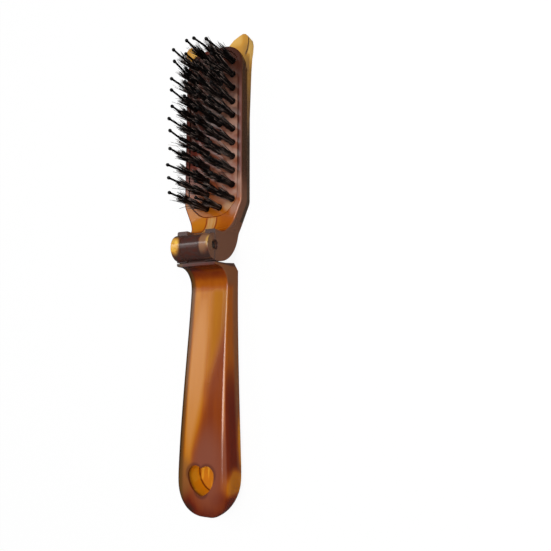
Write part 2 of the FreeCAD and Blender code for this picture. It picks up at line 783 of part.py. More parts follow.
def make_rows(kind, maker):
    groups = []
    for k, row in enumerate(columns()):
        label = "%s_row_%02d" % (kind, k + 1)
        group = doc.addObject("Part::Compound", label)
        group.Links = [maker("%s_%d" % (label, i + 1), x, y) for i, (x, y) in enumerate(row)]
        group.Label = label
        groups.append(group)
    return groups


nodes = [make_handle(), make_frame(), make_cover(), make_base(), make_pin()]
nodes += make_rows("tuft", make_tuft)
nodes += make_rows("nylon", make_nylon)
nodes += make_rows("anchor", make_anchor)
doc.recompute()

for thing in doc.Objects:
    if "Invalid" in thing.State or "Error" in thing.State:
        raise RuntimeError("not built: " + thing.Name)
os.makedirs("parts", exist_ok=True)
for node in nodes:
    shape = node.Shape
    if shape.isNull() or not shape.isValid() or not shape.Solids:
        raise RuntimeError("no sound solid: " + node.Label)
    shape.exportStep("parts/%s.step" % node.Label)
    box = shape.BoundBox
    print(node.Label, len(shape.Solids), round(shape.Volume, 1), [round(v, 2) for v in (
        box.XMin, box.XMax, box.YMin, box.YMax, box.ZMin, box.ZMax)])
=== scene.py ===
# %% [markdown]
# # A folding travel brush
# The brush lies open on its back: an amber handle with a heart-shaped recess, a steel hinge pin,
# and a head with black bristle tufts and a ball-ended nylon pin in each tuft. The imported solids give
# every place and size, so the first step loads them and keeps their box. Whatever is added later
# has to stay in that box.

# %% Load the solids
import json
import math

import bpy
import numpy as np
from mathutils import Matrix, Vector


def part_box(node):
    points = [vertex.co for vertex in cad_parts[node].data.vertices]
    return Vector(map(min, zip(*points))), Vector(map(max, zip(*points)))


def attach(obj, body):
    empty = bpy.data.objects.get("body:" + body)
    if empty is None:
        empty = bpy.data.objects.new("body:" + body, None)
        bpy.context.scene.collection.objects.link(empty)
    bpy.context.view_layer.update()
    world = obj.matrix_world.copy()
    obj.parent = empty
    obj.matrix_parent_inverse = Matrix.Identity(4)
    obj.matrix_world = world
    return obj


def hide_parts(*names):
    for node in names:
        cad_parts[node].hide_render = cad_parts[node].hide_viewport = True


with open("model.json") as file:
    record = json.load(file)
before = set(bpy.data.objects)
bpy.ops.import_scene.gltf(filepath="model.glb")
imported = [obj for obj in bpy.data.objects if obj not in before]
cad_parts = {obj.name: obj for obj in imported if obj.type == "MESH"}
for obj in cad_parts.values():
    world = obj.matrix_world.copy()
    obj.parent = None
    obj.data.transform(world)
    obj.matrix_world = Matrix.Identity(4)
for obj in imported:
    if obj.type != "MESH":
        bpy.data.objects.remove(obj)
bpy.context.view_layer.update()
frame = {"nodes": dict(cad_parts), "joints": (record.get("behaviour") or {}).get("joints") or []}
MM = 0.001
HINGE_Y = frame["joints"][0]["pos_m"][1] / MM


# %% [markdown]
# ## The camera
# A camera is a place, a direction and a turn about that direction. It could be dragged by eye, but the
# brush has enough straight edges to work it out: the rim, the hinge and the handle's end were measured
# in the picture, and the camera that puts them there was solved for. It stands close, to the right of
# the brush and above it, so the handle's end is drawn larger than the head.

# %% Stand the camera
PICTURE_SIDE = 551
FOCAL_PIXELS = 536.268
SENSOR_WIDTH = 36.0
NEAREST_SEEN = 0.01
FARTHEST_SEEN = 50.0
CAMERA_PLACE = np.array([112.756, HINGE_Y - 39.410, 193.566]) * MM
CAMERA_AIM = np.array([-0.40780528, 0.13396633, -0.90318762])
CAMERA_ROLL = -0.005


def camera_axes(aim, roll):
    """Right, up and back: right is square to the aim and to +Y, up is square to both, and the two turn
    about the aim by roll."""
    flat_right = np.cross(aim, [0.0, 1.0, 0.0])
    flat_right = flat_right / np.linalg.norm(flat_right)
    flat_up = np.cross(flat_right, aim)
    right = math.cos(roll) * flat_right + math.sin(roll) * flat_up
    up = -math.sin(roll) * flat_right + math.cos(roll) * flat_up
    return right, up, -aim


def stand_camera():
    """A camera whose lens is the sensor's width times the focal length over the picture's side, both in
    pixels, and whose matrix has the three axes as columns."""
    lens = bpy.data.cameras.new("brush_camera")
    lens.sensor_width = SENSOR_WIDTH
    lens.lens = SENSOR_WIDTH * FOCAL_PIXELS / PICTURE_SIDE
    lens.clip_start = NEAREST_SEEN
    lens.clip_end = FARTHEST_SEEN
    camera = bpy.data.objects.new("brush_camera", lens)
    turn = np.eye(4)
    turn[:3, :3] = np.stack(camera_axes(CAMERA_AIM, CAMERA_ROLL), axis=1)
    turn[:3, 3] = CAMERA_PLACE
    camera.matrix_world = Matrix(turn.tolist())
    bpy.context.scene.collection.objects.link(camera)
    bpy.context.scene.camera = camera
    return camera


brush_camera = stand_camera()
print("lens in mm:", round(brush_camera.data.lens, 2))

# %% [markdown]
# ## Node helpers
# A material is a tree of nodes. It could be clicked together in the shader editor, but as code it can be
# read, repeated and changed in one place. A few short helpers add a node, link or set a socket and do sums.


# %% Node helpers
def new_material(name):
    """An empty node material with its output, and the tree to add to."""
    material = bpy.data.materials.new(name)
    material.use_nodes = True
    tree = material.node_tree
    tree.nodes.clear()
    output = tree.nodes.new("ShaderNodeOutputMaterial")
    return material, tree, output


def add_node(tree, kind, **settings):
    """A node of one kind, with its settings by name."""
    node = tree.nodes.new("ShaderNode" + kind)
    for key, value in settings.items():
        setattr(node, key, value)
    return node


def feed(tree, socket, value):
    """Link a socket to another node's output, or set its own number or colour."""
    if isinstance(value, bpy.types.NodeSocket):
        tree.links.new(value, socket)
    else:
        socket.default_value = value


def maths(tree, operation, *values):
    """One Math node over its values."""
    node = add_node(tree, "Math", operation=operation)
    for socket, value in zip(node.inputs, values):
        feed(tree, socket, value)
    return node.outputs[0]


def total_of(tree, start, *terms):
    """A start value plus each mask times its amount."""
    total = start
    for amount, mask in terms:
        total = maths(tree, "MULTIPLY_ADD", mask, amount, total)
    return total


print("helpers: a material, a node, a link, a sum, a total")

# %% [markdown]
# ## Floor and background
# The brush is shown on white. A plain white floor takes its soft shadow, and the world is white only
# where the camera looks at it, so the background doesn't flood the brush with light. More lamps could
# make the floor white too, but they would bleach the amber. Gloss sees a darker floor and world, as if
# the rest of the room were dim.

# %% Lay the floor and the background
FLOOR_HALF = 4.0
FLOOR_WHITE = (0.86, 0.86, 0.86, 1.0)
FLOOR_GLOW = 0.92
FLOOR_DIM = 0.94
EVEN_LIGHT = 0.22
MIRRORED_LIGHT = 0.05
WHITE = (1.0, 1.0, 1.0, 1.0)


def mixed_shader(tree, share, first, second=None):
    """The first shader where share is nothing and the second, or black, where it is one."""
    mix = add_node(tree, "MixShader")
    feed(tree, mix.inputs[0], share)
    feed(tree, mix.inputs[1], first)
    if second is not None:
        feed(tree, mix.inputs[2], second)
    return mix.outputs[0]


def floor_finish():
    """Matt white paper that glows for the camera by one share and is black to gloss by another."""
    material, tree, output = new_material("white_floor")
    paper = add_node(tree, "BsdfDiffuse")
    paper.inputs["Color"].default_value = FLOOR_WHITE
    glow = add_node(tree, "Emission")
    path = add_node(tree, "LightPath").outputs
    seen = maths(tree, "MULTIPLY", path["Is Camera Ray"], FLOOR_GLOW)
    mirrored = maths(tree, "MULTIPLY", path["Is Glossy Ray"], FLOOR_DIM)
    lit = mixed_shader(tree, seen, paper.outputs[0], glow.outputs[0])
    feed(tree, output.inputs["Surface"], mixed_shader(tree, mirrored, lit))
    return material


def lay_floor():
    """One square face at the height of the brush's back, FLOOR_HALF metres to each side."""
    h = FLOOR_HALF
    mesh = bpy.data.meshes.new("floor")
    mesh.from_pydata([(-h, -h, 0), (h, -h, 0), (h, h, 0), (-h, h, 0)], [], [(0, 1, 2, 3)])
    mesh.materials.append(floor_finish())
    floor = bpy.data.objects.new("floor", mesh)
    bpy.context.scene.collection.objects.link(floor)


def paint_world():
    """White to the camera, an even light to matt surfaces, and almost dark to gloss."""
    world = bpy.data.worlds.new("studio")
    world.use_nodes = True
    tree = world.node_tree
    tree.nodes.clear()
    output = tree.nodes.new("ShaderNodeOutputWorld")
    sky = add_node(tree, "Background")
    sky.inputs["Color"].default_value = WHITE
    path = add_node(tree, "LightPath").outputs
    level = total_of(tree, EVEN_LIGHT, (MIRRORED_LIGHT - EVEN_LIGHT, path["Is Glossy Ray"]))
    feed(tree, sky.inputs["Strength"], maths(tree, "MAXIMUM", path["Is Camera Ray"], level))
    feed(tree, output.inputs["Surface"], sky.outputs[0])
    bpy.context.scene.world = world


lay_floor()
paint_world()
bpy.context.scene.view_settings.view_transform = "Standard"
print("floor:", 2 * FLOOR_HALF, "m square, even light:", EVEN_LIGHT)

# %% [markdown]
# ## Light
# A photographer lights a glossy thing with soft boxes and places them by what they mirror. One bare lamp
# would be simpler, but it would make hard shadows and a single hot spot. Here five boxes do the work: a
# broad one overhead, a weak one to the right, two to the left that stand where the handle's and the head's
# fronts mirror them, and a narrow one that draws the bright line along the handle's right edge.

# %% Hang the soft boxes
SOFT_BOXES = [
    # name, place in metres, width, length, turn in degrees, the point it faces, watts
    ("handle_box", (-0.570, 0.105, 0.66), 0.34, 0.24, -8.0, (-0.570, 0.105, 0.0), 0.42),
    ("head_box", (-0.502, 0.335, 0.66), 0.36, 0.21, 5.0, (-0.502, 0.335, 0.0), 1.0),
    ("top_box", (0.20, 0.05, 0.72), 0.30, 0.50, 0.0, (0.0, 0.0, 0.0), 4.5),
    ("edge_box", (-0.02, 0.05, 0.72), 0.06, 0.60, 0.0, (0.0, 0.0, 0.0), 0.9),
    ("right_box", (0.62, -0.10, 0.45), 0.40, 0.40, 0.0, (0.0, 0.0, 0.0), 0.3),
]


def hang_box(name, place, width, length, turn, facing, watts):
    """A rectangular lamp that faces one point, turned about the line to it."""
    lamp = bpy.data.lights.new(name, "AREA")
    lamp.shape = "RECTANGLE"
    lamp.size = width
    lamp.size_y = length
    lamp.energy = watts
    hung = bpy.data.objects.new(name, lamp)
    look = (Vector(facing) - Vector(place)).to_track_quat("-Z", "Y").to_matrix()
    spin = Matrix.Rotation(math.radians(turn), 3, "Z")
    hung.matrix_world = Matrix.Translation(place) @ (look @ spin).to_4x4()
    bpy.context.scene.collection.objects.link(hung)


for soft_box in SOFT_BOXES:
    hang_box(*soft_box)
print("soft boxes:", [soft_box[0] for soft_box in SOFT_BOXES])

# %% [markdown]
# ## Masks
# The plastic changes colour from place to place. That could be painted by hand on an unwrapped copy, but
# a mask worked out from the place in millimetres needs no unwrapping and stays sharp at any size. A mask is
# a number from 0 to 1. A line is given as two places, where its mask starts and where it is full. A lump is
# given as a centre and radii and, where it needs them, a tilt in degrees, the share of its radii that is
# full, and how ragged its border is. A grain, which is noise, is given as a size, a detail and a stretch.

# %% Masks by place
ACROSS = (1.0, 0.0, 0.0)
ALONG = (0.0, 1.0, 0.0)
UP = (0.0, 0.0, 1.0)


def place_of(tree):
    """The point on the piece in millimetres: X across, Y from the hinge pin towards the ears, Z from the
    floor."""
    where = add_node(tree, "TexCoord")
    mapping = add_node(tree, "Mapping")
    feed(tree, mapping.inputs["Vector"], where.outputs["Object"])
    mapping.inputs["Scale"].default_value = (1.0 / MM, 1.0 / MM, 1.0 / MM)
    mapping.inputs["Location"].default_value = (0.0, -HINGE_Y, 0.0)
    return mapping.outputs[0]


def fade_of(tree, value, start, stop):
    """A smooth step: nothing before start and one past stop, whichever of the two is larger."""
    rising = start < stop
    fade = add_node(tree, "MapRange", interpolation_type="SMOOTHERSTEP")
    feed(tree, fade.inputs["Value"], value)
    fade.inputs["From Min"].default_value = min(start, stop)
    fade.inputs["From Max"].default_value = max(start, stop)
    fade.inputs["To Min"].default_value = 0.0 if rising else 1.0
    fade.inputs["To Max"].default_value = 1.0 if rising else 0.0
    return fade.outputs["Result"]


def distance_of(tree, place, direction):
    """How far the place lies in a direction: the dot product of the two."""
    product = add_node(tree, "VectorMath", operation="DOT_PRODUCT")
    feed(tree, product.inputs[0], place)
    product.inputs[1].default_value = direction
    return product.outputs["Value"]


def slope_of(tree, place, direction, start, stop):
    """A smooth step over the distance in a direction."""
    return fade_of(tree, distance_of(tree, place, direction), start, stop)


def across_of(tree, place, start, stop):
    """A smooth step over the distance to the right of the middle."""
    return slope_of(tree, place, ACROSS, start, stop)


def along_of(tree, place, start, stop):
    """A smooth step over the distance from the hinge pin towards the ears."""
    return slope_of(tree, place, ALONG, start, stop)


def up_of(tree, place, start, stop):
    """A smooth step over the height."""
    return slope_of(tree, place, UP, start, stop)


print("lines are measured in mm from the hinge pin, at Y", round(HINGE_Y, 2))

# %% Masks by noise and by lump
RAGGED_GRAIN = (7.0, 0.0)
RAGGED_SWING = 4.0


def noise_of(tree, place, size, detail=2.0, stretch=(1.0, 1.0, 1.0)):
    """Noise about 0.5, whose lumps are about size millimetres, drawn out by stretch."""
    mapping = add_node(tree, "Mapping")
    feed(tree, mapping.inputs["Vector"], place)
    mapping.inputs["Scale"].default_value = [1.0 / (size * s) for s in stretch]
    noise = add_node(tree, "TexNoise")
    feed(tree, noise.inputs["Vector"], mapping.outputs[0])
    noise.inputs["Scale"].default_value = 1.0
    noise.inputs["Detail"].default_value = detail
    return noise.outputs["Fac"]


def wave_of(tree, place, *grain):
    """The same noise about nothing: it adds as often as it takes away."""
    return maths(tree, "SUBTRACT", noise_of(tree, place, *grain), 0.5)


def spots_of(tree, place, grain, start, stop):
    """Spots with soft borders: a smooth step over noise."""
    return fade_of(tree, noise_of(tree, place, *grain), start, stop)


def lump_of(tree, place, centre, radii, tilt=0.0, core=0.35, ragged=0.0):
    """A soft lump: one inside core of its radii, nothing past them, smooth between. Tilt turns it about Z,
    and ragged lets noise push its border in and out by about that share of its radii."""
    mapping = add_node(tree, "Mapping", vector_type="TEXTURE")
    feed(tree, mapping.inputs["Vector"], place)
    mapping.inputs["Location"].default_value = centre
    mapping.inputs["Rotation"].default_value = (0.0, 0.0, math.radians(tilt))
    mapping.inputs["Scale"].default_value = radii
    length = add_node(tree, "VectorMath", operation="LENGTH")
    feed(tree, length.inputs[0], mapping.outputs[0])
    reach = length.outputs["Value"]
    if ragged:
        reach = total_of(tree, reach, (RAGGED_SWING * ragged, wave_of(tree, place, *RAGGED_GRAIN)))
    return fade_of(tree, reach, 1.0, core)


print("ragged borders have lumps of", RAGGED_GRAIN[0], "mm")

# %% Masks joined, and masks by the way a surface faces
SIDE_TURN = (0.55, 0.85)


def both_of(tree, *masks):
    """Where all the masks are: their product."""
    mask = masks[0]
    for other in masks[1:]:
        mask = maths(tree, "MULTIPLY", mask, other)
    return mask


def either_of(tree, *masks):
    """Where any of the masks is: the largest of them."""
    mask = masks[0]
    for other in masks[1:]:
        mask = maths(tree, "MAXIMUM", mask, other)
    return mask


def but_not(tree, mask, other):
    """Where the mask is and the other isn't."""
    return maths(tree, "MULTIPLY", mask, maths(tree, "SUBTRACT", 1.0, other))


def mixed_of(tree, share, first, second):
    """The first value where share is nothing, the second where it is one."""
    rest = maths(tree, "SUBTRACT", 1.0, share)
    return maths(tree, "MULTIPLY_ADD", second, share, maths(tree, "MULTIPLY", first, rest))


def parts_of(tree, vector):
    """The X, Y and Z of a vector."""
    parts = add_node(tree, "SeparateXYZ")
    feed(tree, parts.inputs[0], vector)
    return parts.outputs


def facing_of(tree):
    """The three parts of the direction that the surface faces, in the piece's own axes."""
    return parts_of(tree, add_node(tree, "TexCoord").outputs["Normal"])


def level_of(tree, start, stop):
    """A smooth step over the facing's Z, which is 1 on top, 0 on a wall and -1 below."""
    return fade_of(tree, facing_of(tree)["Z"], start, stop)


def sides_of(tree):
    """One on the upright side faces, left and right."""
    return fade_of(tree, maths(tree, "ABSOLUTE", facing_of(tree)["X"]), *SIDE_TURN)


def off_sides(tree, mask):
    """The mask, kept off the upright side faces."""
    return but_not(tree, mask, sides_of(tree))


def edge_of(tree, start, stop):
    """A smooth step over the facing's X times its Z, which is negative on a rounded left edge and positive
    on a right one."""
    facing = facing_of(tree)
    return fade_of(tree, maths(tree, "MULTIPLY", facing["X"], facing["Z"]), start, stop)


print("a face is a side from a facing of", SIDE_TURN[0], "and wholly from", SIDE_TURN[1])

# %% [markdown]
# ## Amber plastic
# The handle, the frame, the base and the cover are moulded in see-through amber. Where it is thin it looks
# golden, and where it is thick the colour deepens to burgundy. Real absorption would need clean closed
# walls and many light bounces, so the depth of colour is worked out here as one number from 0 to 1
# at each point of the piece, and a colour ramp turns it into a colour. In places the number also holds
# painted shade and painted highlights. Tints then pass over it where the plastic clouds or darkens in a
# hue of its own, and where reflections and highlights are painted in.

# %% Depth of colour
AMBER_RAMP = [
    # depth, linear red, green, blue
    (0.00, (0.920, 0.560, 0.060)),
    (0.15, (0.660, 0.300, 0.020)),
    (0.30, (0.460, 0.158, 0.004)),
    (0.45, (0.330, 0.078, 0.002)),
    (0.60, (0.235, 0.044, 0.002)),
    (0.75, (0.170, 0.024, 0.002)),
    (0.88, (0.115, 0.010, 0.002)),
    (1.00, (0.048, 0.013, 0.007)),
]
# places of a Mix node's colour sockets among its inputs and outputs
MIX_UNDER, MIX_OVER, MIX_RESULT = 6, 7, 2


def ramp_of(tree, depth, stops):
    """A colour for each depth: straight lines between the stops' colours."""
    ramp = add_node(tree, "ValToRGB")
    feed(tree, ramp.inputs["Fac"], depth)
    spots = ramp.color_ramp.elements
    while len(spots) < len(stops):
        spots.new(0.5)
    for spot, (at, colour) in zip(spots, stops):
        spot.position = at
        spot.color = (*colour, 1.0)
    return ramp.outputs["Color"]


def tinted_of(tree, colour, tints):
    """The colour, passed over by each tint: by its share where its mask is one, less where it is less."""
    for mask, share, tint in tints:
        blend = add_node(tree, "Mix", data_type="RGBA")
        feed(tree, blend.inputs["Factor"], maths(tree, "MULTIPLY", mask, share))
        feed(tree, blend.inputs[MIX_UNDER], colour)
        feed(tree, blend.inputs[MIX_OVER], tint)
        colour = blend.outputs[MIX_RESULT]
    return colour


print("amber goes from gold to burgundy in", len(AMBER_RAMP), "stops")

# %% One amber finish for each moulding
AMBER_IOR = 1.49
ROUGH_LOW = 0.15
ROUGH_SPAN = 0.10
DULL_ROUGH = 0.35
FULL_GLOSS = 0.5
DULL_GLOSS = -0.38
FLOW_GRAIN = (9.0, 3.0, (1.0, 3.0, 1.0))
FLOW_DEPTH = 0.10
SCUFF_GRAIN = (1.2, 4.0, (1.0, 6.0, 1.0))
RIPPLE_GRAIN = (4.0, 2.0)
RIPPLE_STRENGTH = 0.03
RIPPLE_HEIGHT = 0.2 * MM


def amber_finish(name, depth_of, stops=AMBER_RAMP, tints_of=None, dull_of=None):
    """Colour from the piece's depth, painted shade and highlights included, plus a little flow noise, then
    its tints, painted reflections among them. The gloss has faint scuffs and ripples, and is duller where
    dull_of says."""
    material, tree, output = new_material(name)
    place = place_of(tree)
    depth = total_of(tree, depth_of(tree, place), (FLOW_DEPTH, wave_of(tree, place, *FLOW_GRAIN)))
    tints = tints_of(tree, place) if tints_of else []
    skin = add_node(tree, "BsdfPrincipled")
    feed(tree, skin.inputs["Base Color"], tinted_of(tree, ramp_of(tree, depth, stops), tints))
    rough = total_of(tree, ROUGH_LOW, (ROUGH_SPAN, noise_of(tree, place, *SCUFF_GRAIN)))
    if dull_of:
        dull = dull_of(tree, place)
        rough = total_of(tree, rough, (DULL_ROUGH, dull))
        feed(tree, skin.inputs["Specular IOR Level"], total_of(tree, FULL_GLOSS, (DULL_GLOSS, dull)))
    feed(tree, skin.inputs["Roughness"], rough)
    skin.inputs["IOR"].default_value = AMBER_IOR
    ripple = add_node(tree, "Bump")
    ripple.inputs["Strength"].default_value = RIPPLE_STRENGTH
    ripple.inputs["Distance"].default_value = RIPPLE_HEIGHT
    feed(tree, ripple.inputs["Height"], noise_of(tree, place, *RIPPLE_GRAIN))
    feed(tree, skin.inputs["Normal"], ripple.outputs["Normal"])
    feed(tree, output.inputs["Surface"], skin.outputs[0])
    return material


def dress(node, material):
    """Put one finish on a solid as it is."""
    slots = frame["nodes"][node].data.materials
    if not slots:
        slots.append(material)
    for i in range(len(slots)):
        slots[i] = material
    print(node, "wears", material.name)


print("amber gloss: roughness from", ROUGH_LOW, "to", ROUGH_LOW + ROUGH_SPAN)

# %% [markdown]
# ## The heart
# The heart near the handle's end is a blind recess that glows amber in the dark plastic, and the glow is
# painted light. A small lamp inside could make it glow, but the glow has to stay with the plastic, so it is
# a colour by height: a bright floor, a dark line of painted shade round it, amber walls and a dark rim of
# painted shade, with painted golden gleams.

# %% The heart's colour
HEART_Y = -89.05
HEART_FLOOR = 4.4
HEART_DEEP = 8.6
# painted light and shade: the floor's colour, a dark line of painted shade where it meets the walls, bright
# walls and a dark painted rim at the mouth
HEART_LIGHT_RAMP = [
    # share of the way from the floor to the front, linear red, green, blue
    (0.00, (0.480, 0.155, 0.003)),
    (0.02, (0.480, 0.155, 0.003)),
    (0.05, (0.200, 0.040, 0.002)),
    (0.10, (0.220, 0.050, 0.002)),
    (0.18, (0.800, 0.335, 0.004)),
    (0.75, (0.700, 0.270, 0.004)),
    (0.95, (0.160, 0.035, 0.002)),
]
# painted golden gleams on the recess's walls
HEART_GLEAM = (0.860, 0.470, 0.030, 1.0)
HEART_LUMP = ((0.0, HEART_Y, 8.0), (7.6, 7.4, 40.0), 0.0, 0.9)
HEART_MOUTH = (12.7, 12.0)
WALL_GRAIN = (1.1, 2.0, (1.0, 1.0, 6.0))
GLEAM_GRAIN = (2.2, 1.0, (1.0, 4.0, 3.0))
GLEAM_BORDER = (0.48, 0.62)
RING_Z = 12.0
RING_HIGH = 9.0
RING_CORE = 0.7
RING_LUMPS = [
    # across and along from the heart's middle, and reach, in mm: two lobes, the middle and the tip
    (-2.7, 2.7, 4.6),
    (2.7, 2.7, 4.6),
    (0.0, 0.4, 5.4),
    (0.0, -3.4, 3.8),
]


def heart_inside(tree, place):
    """One in the recess, below the handle's front."""
    return both_of(tree, lump_of(tree, place, *HEART_LUMP), up_of(tree, place, *HEART_MOUTH))


def heart_colour_and_light(tree, place):
    """Painted light and shade by height: the ramp over the height, as a share of the recess's depth with a
    little noise, then painted golden gleams.
    """
    height = parts_of(tree, place)["Z"]
    rise = total_of(tree, -HEART_FLOOR / HEART_DEEP, (1.0 / HEART_DEEP, height))
    rise = total_of(tree, rise, (0.05, wave_of(tree, place, *WALL_GRAIN)))
    painted_gleams = spots_of(tree, place, GLEAM_GRAIN, *GLEAM_BORDER)
    return tinted_of(tree, ramp_of(tree, rise, HEART_LIGHT_RAMP), [(painted_gleams, 0.5, HEART_GLEAM)])


def heart_ring(tree, place):
    """Painted shade in a dark ring on the front round the recess: lumps a little larger than its parts."""
    lumps = []
    for across, along, reach in RING_LUMPS:
        centre = (across, HEART_Y + along, RING_Z)
        lumps.append(lump_of(tree, place, centre, (reach, reach, RING_HIGH), 0.0, RING_CORE))
    return either_of(tree, *lumps)


print("heart: floor at", HEART_FLOOR, "mm,", HEART_DEEP, "mm deep")

# %% [markdown]
# ## The handle's colour
# The grip is peach on the left, partly its colour and partly a painted reflection, and honey on the right,
# and turns burgundy past a wavy slanting line. Painted shade darkens it under the lip, along its left edge
# and in the dome at its end, and a painted highlight runs down its right edge. A mauve bloom lies by the
# heart, the sides are brown with gold low down near the end, and the tongue in the hinge is plum. A picture
# laid over the piece would fit from one side only, so each patch is a mask, which holds all round.

# %% Places on the handle
END_GOLD_LUMPS = [
    ((11.5, -76.0, 1.5), (6.0, 18.0, 5.0)),
    ((12.5, -91.5, 6.5), (9.5, 8.5, 13.0), 0.0, 0.35, 0.2),
]
END_GOLD_FRONT = (7.5, 9.5)
# painted shade under the lip: the front darkens in three steps up to the lip's edge, with a lump of it on
# the left
LIP_FOOT = (-18.0, -14.6)
LIP_BEND = (-13.5, -9.5)
LIP_EDGE = (-9.2, -8.0)
LIP_SHADOW_LUMP = ((-9.5, -11.0, 13.0), (4.6, 17.0, 9.0), 0.0, 0.3)
# painted shade on the rounded dome at the handle's end
DOME_END_SHADE = (-95.0, -102.0)
DOME_LEFT_SHADE_LUMP = ((-9.0, -98.0, 11.0), (8.0, 10.0, 8.0), 0.0, 0.3)
DOME_RIGHT_SHADE_LUMP = ((7.4, -94.8, 11.0), (6.0, 4.0, 8.0), 35.0, 0.2)
# the handle widens a little towards its end, and this direction keeps to its left edge
LEFT_EDGE = (1.0, -0.023, 0.0)
# painted shade along the handle's rounded left edge
LEFT_EDGE_SHADE = (-5.2, -6.8)
# a painted highlight, as paler colour, along the handle's rounded right edge from below the lip to near the
# heart
RIGHT_EDGE_HIGHLIGHT = (0.12, 0.32)
RIGHT_HIGHLIGHT_TOP = (-17.0, -22.0)
RIGHT_HIGHLIGHT_FOOT = (-86.0, -60.0)
BURGUNDY_SLANT = (1.0, -0.2, 0.0)
BURGUNDY_LINE = (9.6, 16.0)
BURGUNDY_GRAIN = (11.0, 2.0, (1.0, 2.0, 1.0))
BURGUNDY_SWING = 5.0
END_SLANT = (0.25, -1.0, 0.0)
END_LINE = (79.0, 95.0)
GRIP_GRAIN = (1.6, 1.0, (1.0, 16.0, 1.0))
HONEY_LEFT = (-0.5, 4.0)
HONEY_SLANT = (1.0, -0.3, 0.0)
HONEY_LINE = (20.5, 14.0)
HONEY_TOP = (-14.6, -18.0)


def end_gold(tree, place):
    """The golden patches low on the handle's right side, near its end."""
    return either_of(tree, *[lump_of(tree, place, *lump) for lump in END_GOLD_LUMPS])


def honey_of(tree, place):
    """The honey-coloured stretch right of the middle, below the lip and above the burgundy."""
    return both_of(
        tree,
        across_of(tree, place, *HONEY_LEFT),
        slope_of(tree, place, HONEY_SLANT, *HONEY_LINE),
        along_of(tree, place, *HONEY_TOP))


def burgundy_of(tree, place):
    """Past a slanting line that noise makes wavy, and towards the handle's end."""
    wave = wave_of(tree, place, *BURGUNDY_GRAIN)
    slant = total_of(tree, distance_of(tree, place, BURGUNDY_SLANT), (BURGUNDY_SWING, wave))
    return either_of(tree, fade_of(tree, slant, *BURGUNDY_LINE), slope_of(tree, place, END_SLANT, *END_LINE))


print("gold patches near the handle's end:", len(END_GOLD_LUMPS))

# %% The handle's depth of colour
SIDE_UPPER = (1.8, 5.0)
SIDE_AMBER_FOOT = (-56.0, -40.0)
SIDE_AMBER_TOP = (-11.0, -17.0)
SIDE_DARK = (-44.0, -64.0)


def handle_front(tree, place):
    """Orange amber with fine streaks, darker past the burgundy line, with painted shade up the lip, in the
    dome and by the left edge, a painted highlight on the right edge, and paler where the side's gold reaches
    the front."""
    right_edge_highlight = both_of(
        tree,
        edge_of(tree, *RIGHT_EDGE_HIGHLIGHT),
        along_of(tree, place, *RIGHT_HIGHLIGHT_TOP),
        along_of(tree, place, *RIGHT_HIGHLIGHT_FOOT))
    return total_of(
        tree, 0.34,
        (0.14, wave_of(tree, place, *GRIP_GRAIN)),
        (0.34, burgundy_of(tree, place)),
        (0.13, along_of(tree, place, *LIP_FOOT)),
        (0.26, along_of(tree, place, *LIP_BEND)),
        (0.22, along_of(tree, place, *LIP_EDGE)),
        (0.30, lump_of(tree, place, *LIP_SHADOW_LUMP)),
        (0.14, along_of(tree, place, *DOME_END_SHADE)),
        (0.24, lump_of(tree, place, *DOME_LEFT_SHADE_LUMP)),
        (0.14, lump_of(tree, place, *DOME_RIGHT_SHADE_LUMP)),
        (-0.26, both_of(tree, end_gold(tree, place), across_of(tree, place, *END_GOLD_FRONT))),
        (0.12, slope_of(tree, place, LEFT_EDGE, *LEFT_EDGE_SHADE)),
        (-0.28, right_edge_highlight))


def handle_side(tree, place):
    """Dark, with amber in the upper half below the lip, darker along the grip and golden near the end."""
    upper = up_of(tree, place, *SIDE_UPPER)
    amber = both_of(
        tree, upper, along_of(tree, place, *SIDE_AMBER_FOOT), along_of(tree, place, *SIDE_AMBER_TOP))
    return total_of(
        tree, 0.70,
        (-0.24, amber),
        (0.16, both_of(tree, upper, along_of(tree, place, *SIDE_DARK))),
        (-0.48, end_gold(tree, place)))


def handle_depth(tree, place):
    """The front's depth, and on the upright sides their own."""
    return mixed_of(tree, sides_of(tree), handle_front(tree, place), handle_side(tree, place))


print("the handle's sides have amber from", SIDE_AMBER_TOP[1], "to", SIDE_AMBER_FOOT[1], "mm")

# %% The handle's tints
SIDE_BROWN = (0.190, 0.072, 0.026, 1.0)
SIDE_LOWER = (6.6, 3.4)
SIDE_TOP = (-17.0, -12.0)
KNUCKLE_PLUM = (0.050, 0.027, 0.023, 1.0)
TONGUE = (-7.2, -6.2)
FLECK_GRAIN = (1.5, 2.0)
FLECK_BORDER = (0.62, 0.48)
GRIP_MAUVE = (0.200, 0.062, 0.038, 1.0)
MAUVE_LUMP = ((2.5, -84.0, 12.0), (12.0, 24.0, 8.0), 0.0, 0.2)
MAUVE_SLANT = (1.0, -0.4, 0.0)
MAUVE_LINE = (24.0, 31.0)
# peach: partly the grip's colour and partly a painted reflection of the soft box on the left
GRIP_PEACH_AND_SHEEN = (0.530, 0.226, 0.064, 1.0)
PEACH_LUMP = ((-3.8, -48.0, 12.0), (5.4, 42.0, 9.0), -3.0, 0.4)
PEACH_LINE = (13.0, 9.0)
PEACH_LEFT = (-6.2, -4.6)
PEACH_TOP = (-18.0, -21.0)
GRIP_HONEY = (0.335, 0.118, 0.006, 1.0)
GRIP_TAN = (0.200, 0.078, 0.022, 1.0)
TAN_LUMP = ((-8.0, -88.0, 12.0), (6.0, 11.0, 8.0), 0.0, 0.3)
# painted shade along the left border: olive from the dome up, and black at its very border higher up
GRIP_OLIVE_SHADE = (0.105, 0.044, 0.008, 1.0)
OLIVE_LEFT = (-5.1, -7.0)
OLIVE_FOOT = (-101.0, -92.0)
GRIP_BLACK_SHADE = (0.028, 0.013, 0.005, 1.0)
BLACK_LEFT = (-6.6, -8.0)
BLACK_FOOT = (-92.0, -76.0)
